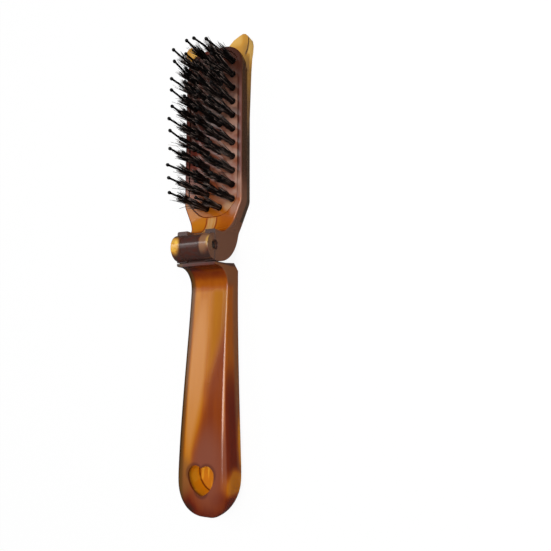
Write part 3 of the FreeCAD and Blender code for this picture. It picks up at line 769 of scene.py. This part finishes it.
# painted shade in a ring round the heart's mouth
HEART_SHADE = (0.075, 0.020, 0.012, 1.0)


def flecked_of(tree, place, mask, least):
    """The mask with dark flecks of its own, in which it keeps only its least share."""
    flecks = spots_of(tree, place, FLECK_GRAIN, *FLECK_BORDER)
    return both_of(tree, mask, total_of(tree, least, (1.0 - least, flecks)))


def peach_and_sheen_of(tree, place):
    """The pale stretch left of the middle, partly the plastic's colour and partly a painted reflection,
    between the burgundy line, the left edge and the lip.
    """
    return both_of(
        tree,
        lump_of(tree, place, *PEACH_LUMP),
        slope_of(tree, place, BURGUNDY_SLANT, *PEACH_LINE),
        slope_of(tree, place, LEFT_EDGE, *PEACH_LEFT),
        along_of(tree, place, *PEACH_TOP))


def handle_tints(tree, place):
    """Brown low on the sides and by the lip, the plum tongue, mauve, peach with a painted reflection, honey
    and tan patches on the front, olive and black painted shade along the left border, and the heart with its
    painted light and its ring of painted shade."""
    brown = either_of(tree, up_of(tree, place, *SIDE_LOWER), along_of(tree, place, *SIDE_TOP))
    brown = both_of(tree, sides_of(tree), but_not(tree, brown, end_gold(tree, place)))
    tongue = flecked_of(tree, place, along_of(tree, place, *TONGUE), 0.65)
    mauve = both_of(
        tree, lump_of(tree, place, *MAUVE_LUMP), slope_of(tree, place, MAUVE_SLANT, *MAUVE_LINE))
    olive = both_of(
        tree, slope_of(tree, place, LEFT_EDGE, *OLIVE_LEFT), along_of(tree, place, *OLIVE_FOOT))
    black = both_of(
        tree, slope_of(tree, place, LEFT_EDGE, *BLACK_LEFT), along_of(tree, place, *BLACK_FOOT))
    return [
        (brown, 0.85, SIDE_BROWN),
        (tongue, 0.85, KNUCKLE_PLUM),
        (off_sides(tree, mauve), 0.8, GRIP_MAUVE),
        (peach_and_sheen_of(tree, place), 0.7, GRIP_PEACH_AND_SHEEN),
        (off_sides(tree, honey_of(tree, place)), 0.75, GRIP_HONEY),
        (off_sides(tree, lump_of(tree, place, *TAN_LUMP)), 0.75, GRIP_TAN),
        (off_sides(tree, olive), 0.9, GRIP_OLIVE_SHADE),
        (off_sides(tree, black), 0.85, GRIP_BLACK_SHADE),
        (heart_ring(tree, place), 0.6, HEART_SHADE),
        (heart_inside(tree, place), 1.0, heart_colour_and_light(tree, place)),
    ]


print("the tongue is plum from", TONGUE[0], "mm on")

# %% Dress the handle
HONEY_DULL = (7.0, 6.0)
HEART_DULL = 0.8


def handle_dull(tree, place):
    """The honey stretch shows less gloss, up to the bright edge, and so does the recess."""
    stretch = both_of(tree, honey_of(tree, place), across_of(tree, place, *HONEY_DULL))
    return either_of(tree, stretch, both_of(tree, heart_inside(tree, place), HEART_DULL))


dress("handle_body", amber_finish("amber_handle", handle_depth, tints_of=handle_tints, dull_of=handle_dull))

# %% [markdown]
# ## The head frame's colour
# The frame is orange at the neck and darkens towards the ears. Its hinge barrel is mottled plum with golden
# ends and a painted glint, a pale streaked strip of painted highlight lies on the neck, and the rim has a
# painted mauve reflection. The strip could be modelled, but nothing shows that it stands out of the neck, so
# it is painted into the colour like the rest.

# %% Places on the head frame
# the head's left border: painted shade in its colour, and less gloss
HEAD_SHADE_DULL_LEFT = (-6.5, -9.0)
HEAD_SHADE_DULL_FOOT = (24.0, 44.0)
# the strip on the neck where a highlight is painted
STRIP_FADE = 0.5
STRIP_OFF = 0.1
STRIP_FOOT = (6.0, 7.0)
STRIP_TOP = (14.6, 13.4)
STRIP_FRONT = (13.0, 12.0)
KNUCKLE_LUMP = ((-7.0, -0.2, 24.0), (3.3, 5.4, 7.5), 0.0, 0.4, 0.12)
BARREL = (15.5, 18.0)


def left_shade_and_dull(tree, place):
    """The head's left border, which has painted shade and shows less gloss."""
    return both_of(tree, across_of(tree, place, *HEAD_SHADE_DULL_LEFT), along_of(tree, place, *HEAD_SHADE_DULL_FOOT))


def neck_highlight_strip(tree, place, half):
    """An upright strip on the neck's front, where a painted highlight lies, that many millimetres to each
    side of its middle.
    """
    return both_of(
        tree,
        across_of(tree, place, STRIP_OFF - STRIP_FADE - half, STRIP_OFF - half),
        across_of(tree, place, half, half - STRIP_FADE),
        along_of(tree, place, *STRIP_FOOT),
        along_of(tree, place, *STRIP_TOP),
        up_of(tree, place, *STRIP_FRONT))


def knuckle_gold(tree, place):
    """The golden left end of the hinge barrel, with a ragged border."""
    return lump_of(tree, place, *KNUCKLE_LUMP)


print("the hinge barrel starts at", BARREL[0], "mm above the floor")

# %% The head frame's depth of colour
BARREL_GRAIN = (1.9, 3.0)
FRONT_RIGHT = (0.0, 8.0)
FRONT_DARK = (18.0, 36.0)
FRONT_DARKER = (52.0, 72.0)
# painted shade in the groove between the rim and the base
RIM_GROOVE_RIGHT = (12.7, 12.3)
RIM_GROOVE_LEFT = (11.0, 11.5)
RIM_GROOVE_FOOT = (19.0, 23.0)
# dark painted lines round the neck's painted highlight
STRIP_OUTLINE = (2.7, 2.1)
LEDGE = (9.8, 12.8)
KNUCKLE_RIGHT_LUMP = ((6.6, 1.0, 24.0), (3.6, 6.0, 5.0), 0.0, 0.4)
LEDGE_LUMP = ((-1.0, 6.5, 11.5), (10.0, 3.0, 4.0))
# painted shade on the frame's rounded left edge
LEFT_ROUND_SHADE = (-0.05, -0.35)
FRAME_SIDE_DARK = (18.0, 34.0)


def frame_front(tree, place):
    """Orange, darker to the right and towards the ears, with painted shade in the rim's groove and on the
    left border, dark painted lines round the strip, darker up the ledge, then a mottled barrel with golden
    ends, and painted shade on the rounded left edge."""
    barrel = up_of(tree, place, *BARREL)
    groove = both_of(
        tree,
        across_of(tree, place, *RIM_GROOVE_RIGHT),
        across_of(tree, place, *RIM_GROOVE_LEFT),
        along_of(tree, place, *RIM_GROOVE_FOOT))
    outer, inner = [neck_highlight_strip(tree, place, half) for half in STRIP_OUTLINE]
    return total_of(
        tree, 0.36,
        (0.14, across_of(tree, place, *FRONT_RIGHT)),
        (0.46, along_of(tree, place, *FRONT_DARK)),
        (0.08, along_of(tree, place, *FRONT_DARKER)),
        (0.12, left_shade_and_dull(tree, place)),
        (0.34, groove),
        (0.30, but_not(tree, outer, inner)),
        (0.46, up_of(tree, place, *LEDGE)),
        (0.12, barrel),
        (0.80, both_of(tree, wave_of(tree, place, *BARREL_GRAIN), barrel)),
        (-0.76, knuckle_gold(tree, place)),
        (-0.54, lump_of(tree, place, *KNUCKLE_RIGHT_LUMP)),
        (0.30, lump_of(tree, place, *LEDGE_LUMP)),
        (0.40, edge_of(tree, *LEFT_ROUND_SHADE)))


def frame_depth(tree, place):
    """The front's depth, and on the upright sides dark, darkest towards the ears."""
    side = total_of(tree, 0.82, (0.18, along_of(tree, place, *FRAME_SIDE_DARK)))
    return mixed_of(tree, sides_of(tree), frame_front(tree, place), side)


print("the frame darkens from", FRONT_DARK[0], "to", FRONT_DARKER[1], "mm")

# %% The head frame's tints
# a painted mauve reflection on the right rim
RIM_MAUVE_SHEEN = (0.165, 0.064, 0.052, 1.0)
RIM_FOOT = (20.0, 27.0)
RIM_TOP = (80.0, 62.0)
RIM_UP = (6.0, 7.0)
RIM_LEFT = (12.2, 12.7)
RIM_RIGHT = (13.9, 13.4)
# a pale pink painted reflection, on the rim's lower right and between the tufts
HEAD_SHEEN = (0.330, 0.165, 0.110, 1.0)
SHEEN_LUMPS = [
    ((12.4, 26.5, 7.0), (5.0, 8.0, 4.0), 0.0, 0.2),
    ((10.4, 17.5, 7.0), (2.6, 5.0, 4.0), -25.0, 0.3),
]
KNUCKLE_TAN = (0.260, 0.130, 0.066, 1.0)
KNUCKLE_TAN_LUMP = ((5.6, 1.2, 24.0), (4.4, 6.4, 7.0), 0.0, 0.35)
KNUCKLE_TAN_LEFT = (4.2, 4.9)
KNUCKLE_GOLD = (0.640, 0.385, 0.075, 1.0)
# a painted golden glint at the barrel's right end, by the pin
KNUCKLE_GLINT_LUMP = ((8.2, 0.8, 22.5), (1.5, 3.4, 4.0), 0.0, 0.2)
KNUCKLE_LEFTMOST = (-0.28, -0.46)
FORK_BROWN = (0.152, 0.068, 0.038, 1.0)
FRAME_SHADE = (0.062, 0.025, 0.010, 1.0)
FORK_TOP = (40.0, 20.0)
# a painted highlight in pale streaks on the neck
NECK_HIGHLIGHT = (0.450, 0.245, 0.085, 1.0)
STRIP_HALF = 2.0
STRIP_GRAIN = (0.7, 1.0, (1.0, 9.0, 9.0))
STRIP_BORDER = (0.3, 0.6)


def rim_sheen(tree, place):
    """A narrow band of painted reflection on the right rim's front, beside the lower and middle rows of
    tufts.
    """
    return both_of(
        tree,
        along_of(tree, place, *RIM_FOOT),
        along_of(tree, place, *RIM_TOP),
        up_of(tree, place, *RIM_UP),
        across_of(tree, place, *RIM_LEFT),
        across_of(tree, place, *RIM_RIGHT))


def frame_tints(tree, place):
    """Painted mauve and pale reflections on the rim, a plum barrel with a tan right end, gold at its left
    end and a painted glint at its right, brown sides below and darker ones above, and the painted highlight
    streaked on the neck."""
    sheen = either_of(tree, *[lump_of(tree, place, *lump) for lump in SHEEN_LUMPS])
    knuckle = knuckle_gold(tree, place)
    plum = flecked_of(tree, place, but_not(tree, up_of(tree, place, *BARREL), knuckle), 0.65)
    tan = both_of(
        tree, lump_of(tree, place, *KNUCKLE_TAN_LUMP), across_of(tree, place, *KNUCKLE_TAN_LEFT))
    gold = either_of(
        tree, flecked_of(tree, place, knuckle, 0.45), lump_of(tree, place, *KNUCKLE_GLINT_LUMP))
    fork = along_of(tree, place, *FORK_TOP)
    streaks = spots_of(tree, place, STRIP_GRAIN, *STRIP_BORDER)
    strip = both_of(tree, neck_highlight_strip(tree, place, STRIP_HALF), total_of(tree, 0.35, (0.6, streaks)))
    return [
        (off_sides(tree, rim_sheen(tree, place)), 0.85, RIM_MAUVE_SHEEN),
        (off_sides(tree, sheen), 0.75, HEAD_SHEEN),
        (plum, 0.85, KNUCKLE_PLUM),
        (off_sides(tree, tan), 0.75, KNUCKLE_TAN),
        (but_not(tree, gold, edge_of(tree, *KNUCKLE_LEFTMOST)), 0.65, KNUCKLE_GOLD),
        (both_of(tree, sides_of(tree), fork), 0.9, FORK_BROWN),
        (but_not(tree, sides_of(tree), fork), 0.9, FRAME_SHADE),
        (strip, 1.0, NECK_HIGHLIGHT),
    ]


print("the strip on the neck is", 2 * STRIP_HALF, "mm wide")

# %% Dress the head frame
HOLLOW_LUMP = ((0.0, 11.5, 8.5), (14.0, 4.5, 8.0), 0.0, 0.6)


def frame_dull(tree, place):
    """The neck's hollow and the left border show less gloss."""
    return either_of(tree, lump_of(tree, place, *HOLLOW_LUMP), left_shade_and_dull(tree, place))


dress("head_frame", amber_finish("amber_frame", frame_depth, tints_of=frame_tints, dull_of=frame_dull))

# %% [markdown]
# ## The base's colour
# The base is the plate that holds the tufts. It sits in the frame like a tile in a tray, amber at the neck,
# burgundy further up, and dark with painted shade in the seam round it. Between the tufts it is paler and
# pinker, a painted reflection, and near its lower right corner lies a cream painted highlight. Both are
# tints.

# %% Dress the base
BASE_DARK = (16.0, 32.0)
BASE_DARKER = (36.0, 60.0)
BASE_DARKEST = (46.0, 64.0)
# painted shade in the seam where the base's edge turns down
BASE_SEAM_SHADE = (0.97, 0.85)
BASE_TOP_FACE = (0.8, 0.95)
# a painted reflection between the tufts
SHEEN_FOOT = (16.0, 24.0)
SHEEN_TOP = (84.0, 50.0)
SHEEN_RIGHT = (-8.0, 10.0)
SHEEN_GRAIN = (5.0, 2.0)
SHEEN_BORDER = (0.35, 0.62)
# a cream painted highlight near the base's lower right corner
HEAD_CREAM_HIGHLIGHT = (0.420, 0.235, 0.120, 1.0)
CREAM_LUMP = ((7.4, 18.4, 7.0), (3.6, 3.0, 6.0), 20.0, 0.3, 0.15)


def base_depth(tree, place):
    """Amber at the neck's end, burgundy from the third row on, with painted shade by the left border and,
    darkest, in the seam round it.
    """
    return total_of(
        tree, 0.42,
        (0.30, along_of(tree, place, *BASE_DARK)),
        (0.20, along_of(tree, place, *BASE_DARKER)),
        (0.14, left_shade_and_dull(tree, place)),
        (0.12, along_of(tree, place, *BASE_DARKEST)),
        (0.40, level_of(tree, *BASE_SEAM_SHADE)))


def base_tints(tree, place):
    """A pale painted reflection between the tufts, strongest to the right and in patches, and a cream
    painted highlight in one corner.
    """
    top_face = level_of(tree, *BASE_TOP_FACE)
    patches = spots_of(tree, place, SHEEN_GRAIN, *SHEEN_BORDER)
    pale_sheen = both_of(
        tree,
        along_of(tree, place, *SHEEN_FOOT),
        along_of(tree, place, *SHEEN_TOP),
        across_of(tree, place, *SHEEN_RIGHT),
        top_face,
        total_of(tree, 0.30, (0.6, patches)))
    return [
        (pale_sheen, 1.0, HEAD_SHEEN),
        (both_of(tree, lump_of(tree, place, *CREAM_LUMP), top_face), 0.75, HEAD_CREAM_HIGHLIGHT),
    ]


dress("bristle_base", amber_finish("dark_base", base_depth, tints_of=base_tints, dull_of=left_shade_and_dull))

# %% [markdown]
# ## The cover's colour
# The cover closes the head's back and shows in front only as two pointed ears. It is a yellower, clouded
# plastic, so it has a ramp of its own. It could be a copy of the amber with other numbers, but then a
# change to one finish would have to be made twice, so the same finish takes the ramp as a choice.

# %% Dress the cover
COVER_RAMP = [
    # depth, linear red, green, blue
    (0.00, (0.740, 0.470, 0.130)),
    (0.20, (0.490, 0.235, 0.034)),
    (0.50, (0.240, 0.125, 0.030)),
    (0.75, (0.150, 0.080, 0.035)),
    (1.00, (0.056, 0.034, 0.022)),
]
COVER_GRAIN = (13.0, 3.0, (1.0, 1.8, 1.0))
# the walls are painted lighter than the fronts, as faces that catch more light
COVER_WALL = (0.5, 0.2)
COVER_BACK = (-0.5, -0.8)
EAR_FOOT = (76.0, 79.0)
# painted light on the ears' tips, painted shade towards their outer ridge and along the walls' upper rim
EAR_TIP_LIGHT = (86.0, 91.0)
EAR_RIDGE_SHADE = (11.0, 15.0)
WALL_RIM_SHADE = (3.9, 4.6)
COVER_OLIVE = (86.0, 75.0)
COVER_BROWN = (75.0, 60.0)
COVER_DARK = (60.0, 45.0)


def cover_depth(tree, place):
    """Golden ears, darker towards their outer ridge with painted shade and with pale tips of painted light;
    walls painted lighter than the fronts, from golden to dark down the head with a dark upper rim of painted
    shade;
    and a clouded golden back."""
    wall = level_of(tree, *COVER_WALL)
    ear = but_not(tree, along_of(tree, place, *EAR_FOOT), wall)
    outward = maths(tree, "ABSOLUTE", parts_of(tree, place)["X"])
    front = total_of(
        tree, 0.22,
        (-0.16, wall),
        (0.16, both_of(tree, ear, fade_of(tree, outward, *EAR_RIDGE_SHADE))),
        (-0.13, both_of(tree, ear, along_of(tree, place, *EAR_TIP_LIGHT))),
        (0.75, both_of(tree, wall, up_of(tree, place, *WALL_RIM_SHADE))),
        (0.36, along_of(tree, place, *COVER_OLIVE)),
        (0.26, along_of(tree, place, *COVER_BROWN)),
        (0.30, along_of(tree, place, *COVER_DARK)))
    back = total_of(tree, 0.34, (1.6, wave_of(tree, place, *COVER_GRAIN)))
    return mixed_of(tree, level_of(tree, *COVER_BACK), front, back)


dress("back_cover", amber_finish("golden_cover", cover_depth, stops=COVER_RAMP))

# %% [markdown]
# ## Steel
# The hinge pin is a drawn steel rod, and the anchors are bits of flat wire at the bottom of the sockets.
# Both show faint lines along their length. The lines could be cut into the mesh, but they are finer than
# a hair, so the noise that sets colour and roughness is drawn out along the metal instead.

# %% Steel finish
PIN_STEEL = (0.30, 0.27, 0.24)
PIN_STRETCH = (12.0, 1.0, 1.0)
WIRE_STEEL = (0.55, 0.50, 0.42)
WIRE_STRETCH = (6.0, 1.0, 1.0)
DRAWN_SIZE = 0.3
DRAWN_DETAIL = 3.0
DRAWN_DARK = 0.75
TUFT_ROWS = 12


def steel_finish(name, colour, stretch):
    """Metal whose colour and roughness both follow noise, drawn out by stretch."""
    material, tree, output = new_material(name)
    place = place_of(tree)
    skin = add_node(tree, "BsdfPrincipled")
    lines = noise_of(tree, place, DRAWN_SIZE, DRAWN_DETAIL, stretch)
    tone = ramp_of(tree, lines, [(0.2, [DRAWN_DARK * c for c in colour]), (0.8, colour)])
    feed(tree, skin.inputs["Base Color"], tone)
    feed(tree, skin.inputs["Roughness"], total_of(tree, 0.2, (0.25, lines)))
    skin.inputs["Metallic"].default_value = 1.0
    feed(tree, output.inputs["Surface"], skin.outputs[0])
    return material


dress("hinge_pin", steel_finish("pin_steel", PIN_STEEL, PIN_STRETCH))
anchor_wire = steel_finish("anchor_wire", WIRE_STEEL, WIRE_STRETCH)
for row in range(1, TUFT_ROWS + 1):
    dress("anchor_row_%02d" % row, anchor_wire)

# %% [markdown]
# ## Where the tufts stand
# Four columns of tufts are drilled into the base, the outer two half a step further than the middle
# two. The places could be written out again, but each row's own solids already have them, so they are
# read from the row's box and can't drift from the sockets.

# %% Tuft places
COLUMN_STEP = 6.0 * MM
OUTER_LEAD = 3.0 * MM
ANCHOR_HALF = 0.2 * MM
ROOT_DEPTH = 1.2 * MM
BASE_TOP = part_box("bristle_base")[1].z
TUFT_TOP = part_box("tuft_row_01")[1].z
PIN_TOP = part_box("nylon_row_01")[1].z
ROOT_Z = BASE_TOP - ROOT_DEPTH


def row_places(row):
    """Two middle places at the row's own Y, which is half an anchor from its box's end, then two outer ones
    half a step on, where the row has them."""
    low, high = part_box("anchor_row_%02d" % row)
    wide = (high.x - low.x) > 2 * COLUMN_STEP
    middle = low.y + ANCHOR_HALF
    outer = middle + OUTER_LEAD
    spots = [(-0.5 * COLUMN_STEP, middle), (0.5 * COLUMN_STEP, middle)]
    if wide:
        spots += [(-1.5 * COLUMN_STEP, outer), (1.5 * COLUMN_STEP, outer)]
    return np.array(spots)


print("first row in mm:", np.round(row_places(1) / MM, 2).tolist())

# %% [markdown]
# ## Mesh helper
# A tube is a grid: rings along it and corners round each ring. Curves with a bevel could draw tubes too,
# but thousands of them are slow. The same few lines of arrays turn any stack of such grids into a closed
# mesh, so bristles and pins share them.


# %% Tubes to a mesh
def tubes_to_mesh(name, grid):
    """grid is tubes x rings x corners x 3. Neighbouring rings are joined by four-sided faces and the end
    rings are closed by one face each."""
    tubes, rings, corners, _ = grid.shape
    first = np.arange(tubes)[:, None, None] * rings * corners
    ring = np.arange(rings - 1)[None, :, None] * corners
    here = np.arange(corners)[None, None, :]
    after = (here + 1) % corners
    quads = np.stack(np.broadcast_arrays(
        first + ring + here, first + ring + after,
        first + ring + corners + after, first + ring + corners + here), axis=-1).reshape(-1, 4)
    foot = first[:, 0] + np.arange(corners)[::-1][None, :]
    head = first[:, 0] + (rings - 1) * corners + np.arange(corners)[None, :]
    caps = np.concatenate([foot, head])
    loops = np.concatenate([quads.ravel(), caps.ravel()])
    sizes = np.concatenate([np.full(len(quads), 4), np.full(len(caps), corners)])
    mesh = bpy.data.meshes.new(name)
    mesh.vertices.add(tubes * rings * corners)
    mesh.vertices.foreach_set("co", grid.astype(np.float32).ravel())
    mesh.loops.add(len(loops))
    mesh.loops.foreach_set("vertex_index", loops.astype(np.int32))
    mesh.polygons.add(len(sizes))
    mesh.polygons.foreach_set("loop_start", (np.cumsum(sizes) - sizes).astype(np.int32))
    mesh.polygons.foreach_set("use_smooth", np.ones(len(sizes), dtype=bool))
    mesh.update(calc_edges=True)
    mesh.validate()
    return mesh


def ring_about(corners):
    """Unit circle points in the floor's plane."""
    turn = np.arange(corners) * (2 * np.pi / corners)
    return np.stack([np.cos(turn), np.sin(turn), np.zeros(corners)], axis=-1)


def stand_piece(name, mesh, material, node):
    """Link a finished mesh, let it ride on the head and stand for its solid."""
    mesh.materials.append(material)
    piece = bpy.data.objects.new(name, mesh)
    bpy.context.scene.collection.objects.link(piece)
    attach(piece, "head")
    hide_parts(node)
    print(name, "has", len(mesh.polygons), "faces")


print("helpers: tubes to a mesh, a ring, a standing piece")

# %% [markdown]
# ## Bristles
# A tuft is a bundle of black bristles folded round its anchor and pressed into the socket. They leave the
# socket close together, spread a little, and are trimmed to about one height. A particle system could grow
# them, but plain tubes export to any program: each bristle is a thin square tube along a bowed line.

# %% Shape a bristle
BRISTLES_PER_TUFT = 92
BRISTLE_RADIUS = 0.105 * MM
BRISTLE_THICKNESS = (0.8, 1.15)
BRISTLE_TAPER = 0.35
BRISTLE_RINGS = 5
BRISTLE_CORNERS = 4
SOCKET_RADIUS = 1.05 * MM
CORE_RADIUS = 0.48 * MM
TUFT_SPREAD = 1.75
BOW = 1.4
LEAN_SCATTER = 0.30 * MM
TRIM_LOW = 1.0 * MM
TRIM_SPAN = 2.8 * MM
TRIM_POWER = 0.9
# a bristle whose chance is under one of these shares is loose or stray, and leans that much further
LOOSE_SHARE = 0.04
LOOSE_LEAN = 3.6
STRAY_SHARE = 0.12
STRAY_LEAN = 2.4
LEAN_SEED = 4107
dice = np.random.default_rng(LEAN_SEED)


def bristle_grid(places):
    """Roots fill a ring about each place by area. A bristle's line is root + rise * t + lean * t^BOW, where
    lean spreads it outward and a few stray ones lean further; its radius shrinks with t squared."""
    count = len(places) * BRISTLES_PER_TUFT
    turn = dice.uniform(0, 2 * np.pi, count)
    inner = (CORE_RADIUS / SOCKET_RADIUS) ** 2
    out = np.sqrt(dice.uniform(inner, 1.0, count))
    flat = np.stack([np.cos(turn), np.sin(turn)], axis=-1) * out[:, None]
    root = np.repeat(places, BRISTLES_PER_TUFT, axis=0) + flat * SOCKET_RADIUS
    chance = dice.uniform(size=count)
    stray = np.where(chance < LOOSE_SHARE, LOOSE_LEAN, np.where(chance < STRAY_SHARE, STRAY_LEAN, 1.0))
    lean = flat * SOCKET_RADIUS * (TUFT_SPREAD - 1.0) * stray[:, None]
    lean = lean + dice.normal(0, LEAN_SCATTER, (count, 2)) * stray[:, None]
    top = TUFT_TOP - TRIM_LOW - dice.uniform(0.0, 1.0, count) ** TRIM_POWER * TRIM_SPAN
    top = np.where(stray > 1.0, top + TRIM_LOW, top)
    t = np.linspace(0.0, 1.0, BRISTLE_RINGS)
    line = np.zeros((count, len(t), 3))
    line[:, :, :2] = root[:, None, :] + lean[:, None, :] * t[None, :, None] ** BOW
    line[:, :, 2] = ROOT_Z + (top[:, None] - ROOT_Z) * t[None, :]
    thick = BRISTLE_RADIUS * dice.uniform(*BRISTLE_THICKNESS, count)[:, None]
    radius = thick * (1.0 - BRISTLE_TAPER * t[None, :] ** 2)
    return line[:, :, None, :] + radius[:, :, None, None] * ring_about(BRISTLE_CORNERS)[None, None]


print("bristles:", BRISTLES_PER_TUFT, "to a tuft")

# %% Grow the tufts
# the last stop is a painted highlight on a few bristles
BRISTLE_TONES_AND_GLINTS = [
    # tone, linear red, green, blue
    (0.00, (0.0015, 0.0015, 0.0015)),
    (0.78, (0.004, 0.003, 0.003)),
    (0.97, (0.340, 0.250, 0.215)),
]
BRISTLE_GRAIN = (0.45, 1.0, (1.0, 1.0, 40.0))
BRISTLE_GLOSS = 0.22
TONE_SEED = 4108
tone_dice = np.random.default_rng(TONE_SEED)


def bristle_finish():
    """Nearly black, with a few bristles painted pale as highlights: each bristle's own tone is an attribute
    of its mesh, noise drawn out along it shifts it a little, and the top of the ramp turns the highest tones
    into painted highlights."""
    material, tree, output = new_material("black_bristle")
    place = place_of(tree)
    skin = add_node(tree, "BsdfPrincipled")
    own = add_node(tree, "Attribute", attribute_name="bristle_tone")
    shade = total_of(tree, own.outputs["Fac"], (0.3, wave_of(tree, place, *BRISTLE_GRAIN)))
    rough = total_of(tree, 0.32, (0.2, noise_of(tree, place, *BRISTLE_GRAIN)))
    feed(tree, skin.inputs["Base Color"], ramp_of(tree, shade, BRISTLE_TONES_AND_GLINTS))
    feed(tree, skin.inputs["Roughness"], rough)
    skin.inputs["Specular IOR Level"].default_value = BRISTLE_GLOSS
    feed(tree, output.inputs["Surface"], skin.outputs[0])
    return material


def give_tones(mesh, grid):
    """One random tone for each bristle, written to every point of it."""
    tubes, rings, corners, _ = grid.shape
    tones = np.repeat(tone_dice.uniform(size=tubes), rings * corners)
    mesh.attributes.new("bristle_tone", "FLOAT", "POINT").data.foreach_set("value", tones)


black_bristle = bristle_finish()
for row in range(1, TUFT_ROWS + 1):
    name = "bristles_%02d" % row
    grid = bristle_grid(row_places(row))
    mesh = tubes_to_mesh(name, grid)
    give_tones(mesh, grid)
    stand_piece(name, mesh, black_bristle, "tuft_row_%02d" % row)

# %% [markdown]
# ## Nylon pins
# One long nylon pin stands in the middle of each tuft and ends in a small ball that glides over the scalp.
# A cylinder and a sphere could be joined, but then a seam would show between them. A pin is turned in one go
# instead: a profile of radius against height, carried along a slightly leaning line.

# %% Shape a nylon pin
SHAFT_RADIUS = 0.42 * MM
SHAFT_RINGS = 6
BALL_RADIUS = 0.74 * MM
BALL_RINGS = 7
# where the ball's outline leaves the shaft and where it ends near the tip, as shares of half a turn
BALL_START = 0.19
BALL_END = 0.97
PIN_CORNERS = 10


def pin_profile():
    """Heights as shares of the pin, and radii: a straight shaft, then a ball whose height and radius follow
    the cosine and the sine of a turn."""
    length = PIN_TOP - ROOT_Z
    shaft = np.linspace(0.0, 1.0 - 2.0 * BALL_RADIUS / length, SHAFT_RINGS)
    turn = np.linspace(BALL_START, BALL_END, BALL_RINGS) * np.pi
    ball = 1.0 - BALL_RADIUS / length * (1.0 + np.cos(turn))
    share = np.concatenate([shaft, ball])
    radius = np.concatenate([np.full(len(shaft), SHAFT_RADIUS), BALL_RADIUS * np.sin(turn)])
    return share, radius


def pin_grid(places, lean):
    """A pin's line is place + rise * t + lean * t^BOW, and its rings are level circles of the profile's
    radius."""
    share, radius = pin_profile()
    line = np.zeros((len(places), len(share), 3))
    line[:, :, :2] = places[:, None, :] + lean[:, None, :] * share[None, :, None] ** BOW
    line[:, :, 2] = ROOT_Z + (PIN_TOP - ROOT_Z) * share[None, :]
    return line[:, :, None, :] + radius[None, :, None, None] * ring_about(PIN_CORNERS)[None, None]


print("a pin is", round((PIN_TOP - BASE_TOP) / MM, 2), "mm long above the base")

# %% Set the nylon pins
NYLON_TONES = [
    # noise, linear red, green, blue
    (0.3, (0.002, 0.002, 0.002)),
    (0.8, (0.006, 0.005, 0.005)),
]
NYLON_GRAIN = (0.5, 2.0, (1.0, 1.0, 10.0))
NYLON_GLOSS = 0.12
PIN_SCATTER = 0.35
LEFT_OUTER, RIGHT_OUTER = 2, 3
LEFT_LEANS = [
    # across and along in mm at the tip, from the neck to the ears
    (-0.4, 0.2), (-0.9, 0.3), (-1.6, -0.3), (-0.6, 0.3), (-0.8, 1.9), (-1.4, 1.0),
    (0.0, -0.1), (-0.5, 1.0), (-0.6, -0.2), (0.7, 1.1), (0.1, 0.2),
]
LAST_LEANS = [(0.4, -0.4), (-2.3, -0.2)]
LAST_RIGHT_LEAN = (-2.5, 1.1)


def nylon_finish():
    """Black nylon with a low gloss and the faintest drawn lines, in colour and in roughness."""
    material, tree, output = new_material("black_nylon")
    place = place_of(tree)
    skin = add_node(tree, "BsdfPrincipled")
    drawn = noise_of(tree, place, *NYLON_GRAIN)
    feed(tree, skin.inputs["Base Color"], ramp_of(tree, drawn, NYLON_TONES))
    feed(tree, skin.inputs["Roughness"], total_of(tree, 0.45, (0.15, drawn)))
    skin.inputs["Specular IOR Level"].default_value = NYLON_GLOSS
    feed(tree, output.inputs["Surface"], skin.outputs[0])
    return material


def pin_leans(row, count):
    """A small seeded lean for each pin. Pins that stand clear at the head's edge have the lean they were
    bent to."""
    lean = dice.normal(0, PIN_SCATTER, (count, 2))
    if count > 2:
        lean[LEFT_OUTER] = LEFT_LEANS[row - 1]
    else:
        lean[:] = LAST_LEANS
    if row == TUFT_ROWS - 1:
        lean[RIGHT_OUTER] = LAST_RIGHT_LEAN
    return lean * MM


black_nylon = nylon_finish()
for row in range(1, TUFT_ROWS + 1):
    name = "nylon_pins_%02d" % row
    places = row_places(row)
    mesh = tubes_to_mesh(name, pin_grid(places, pin_leans(row, len(places))))
    stand_piece(name, mesh, black_nylon, "nylon_row_%02d" % row)
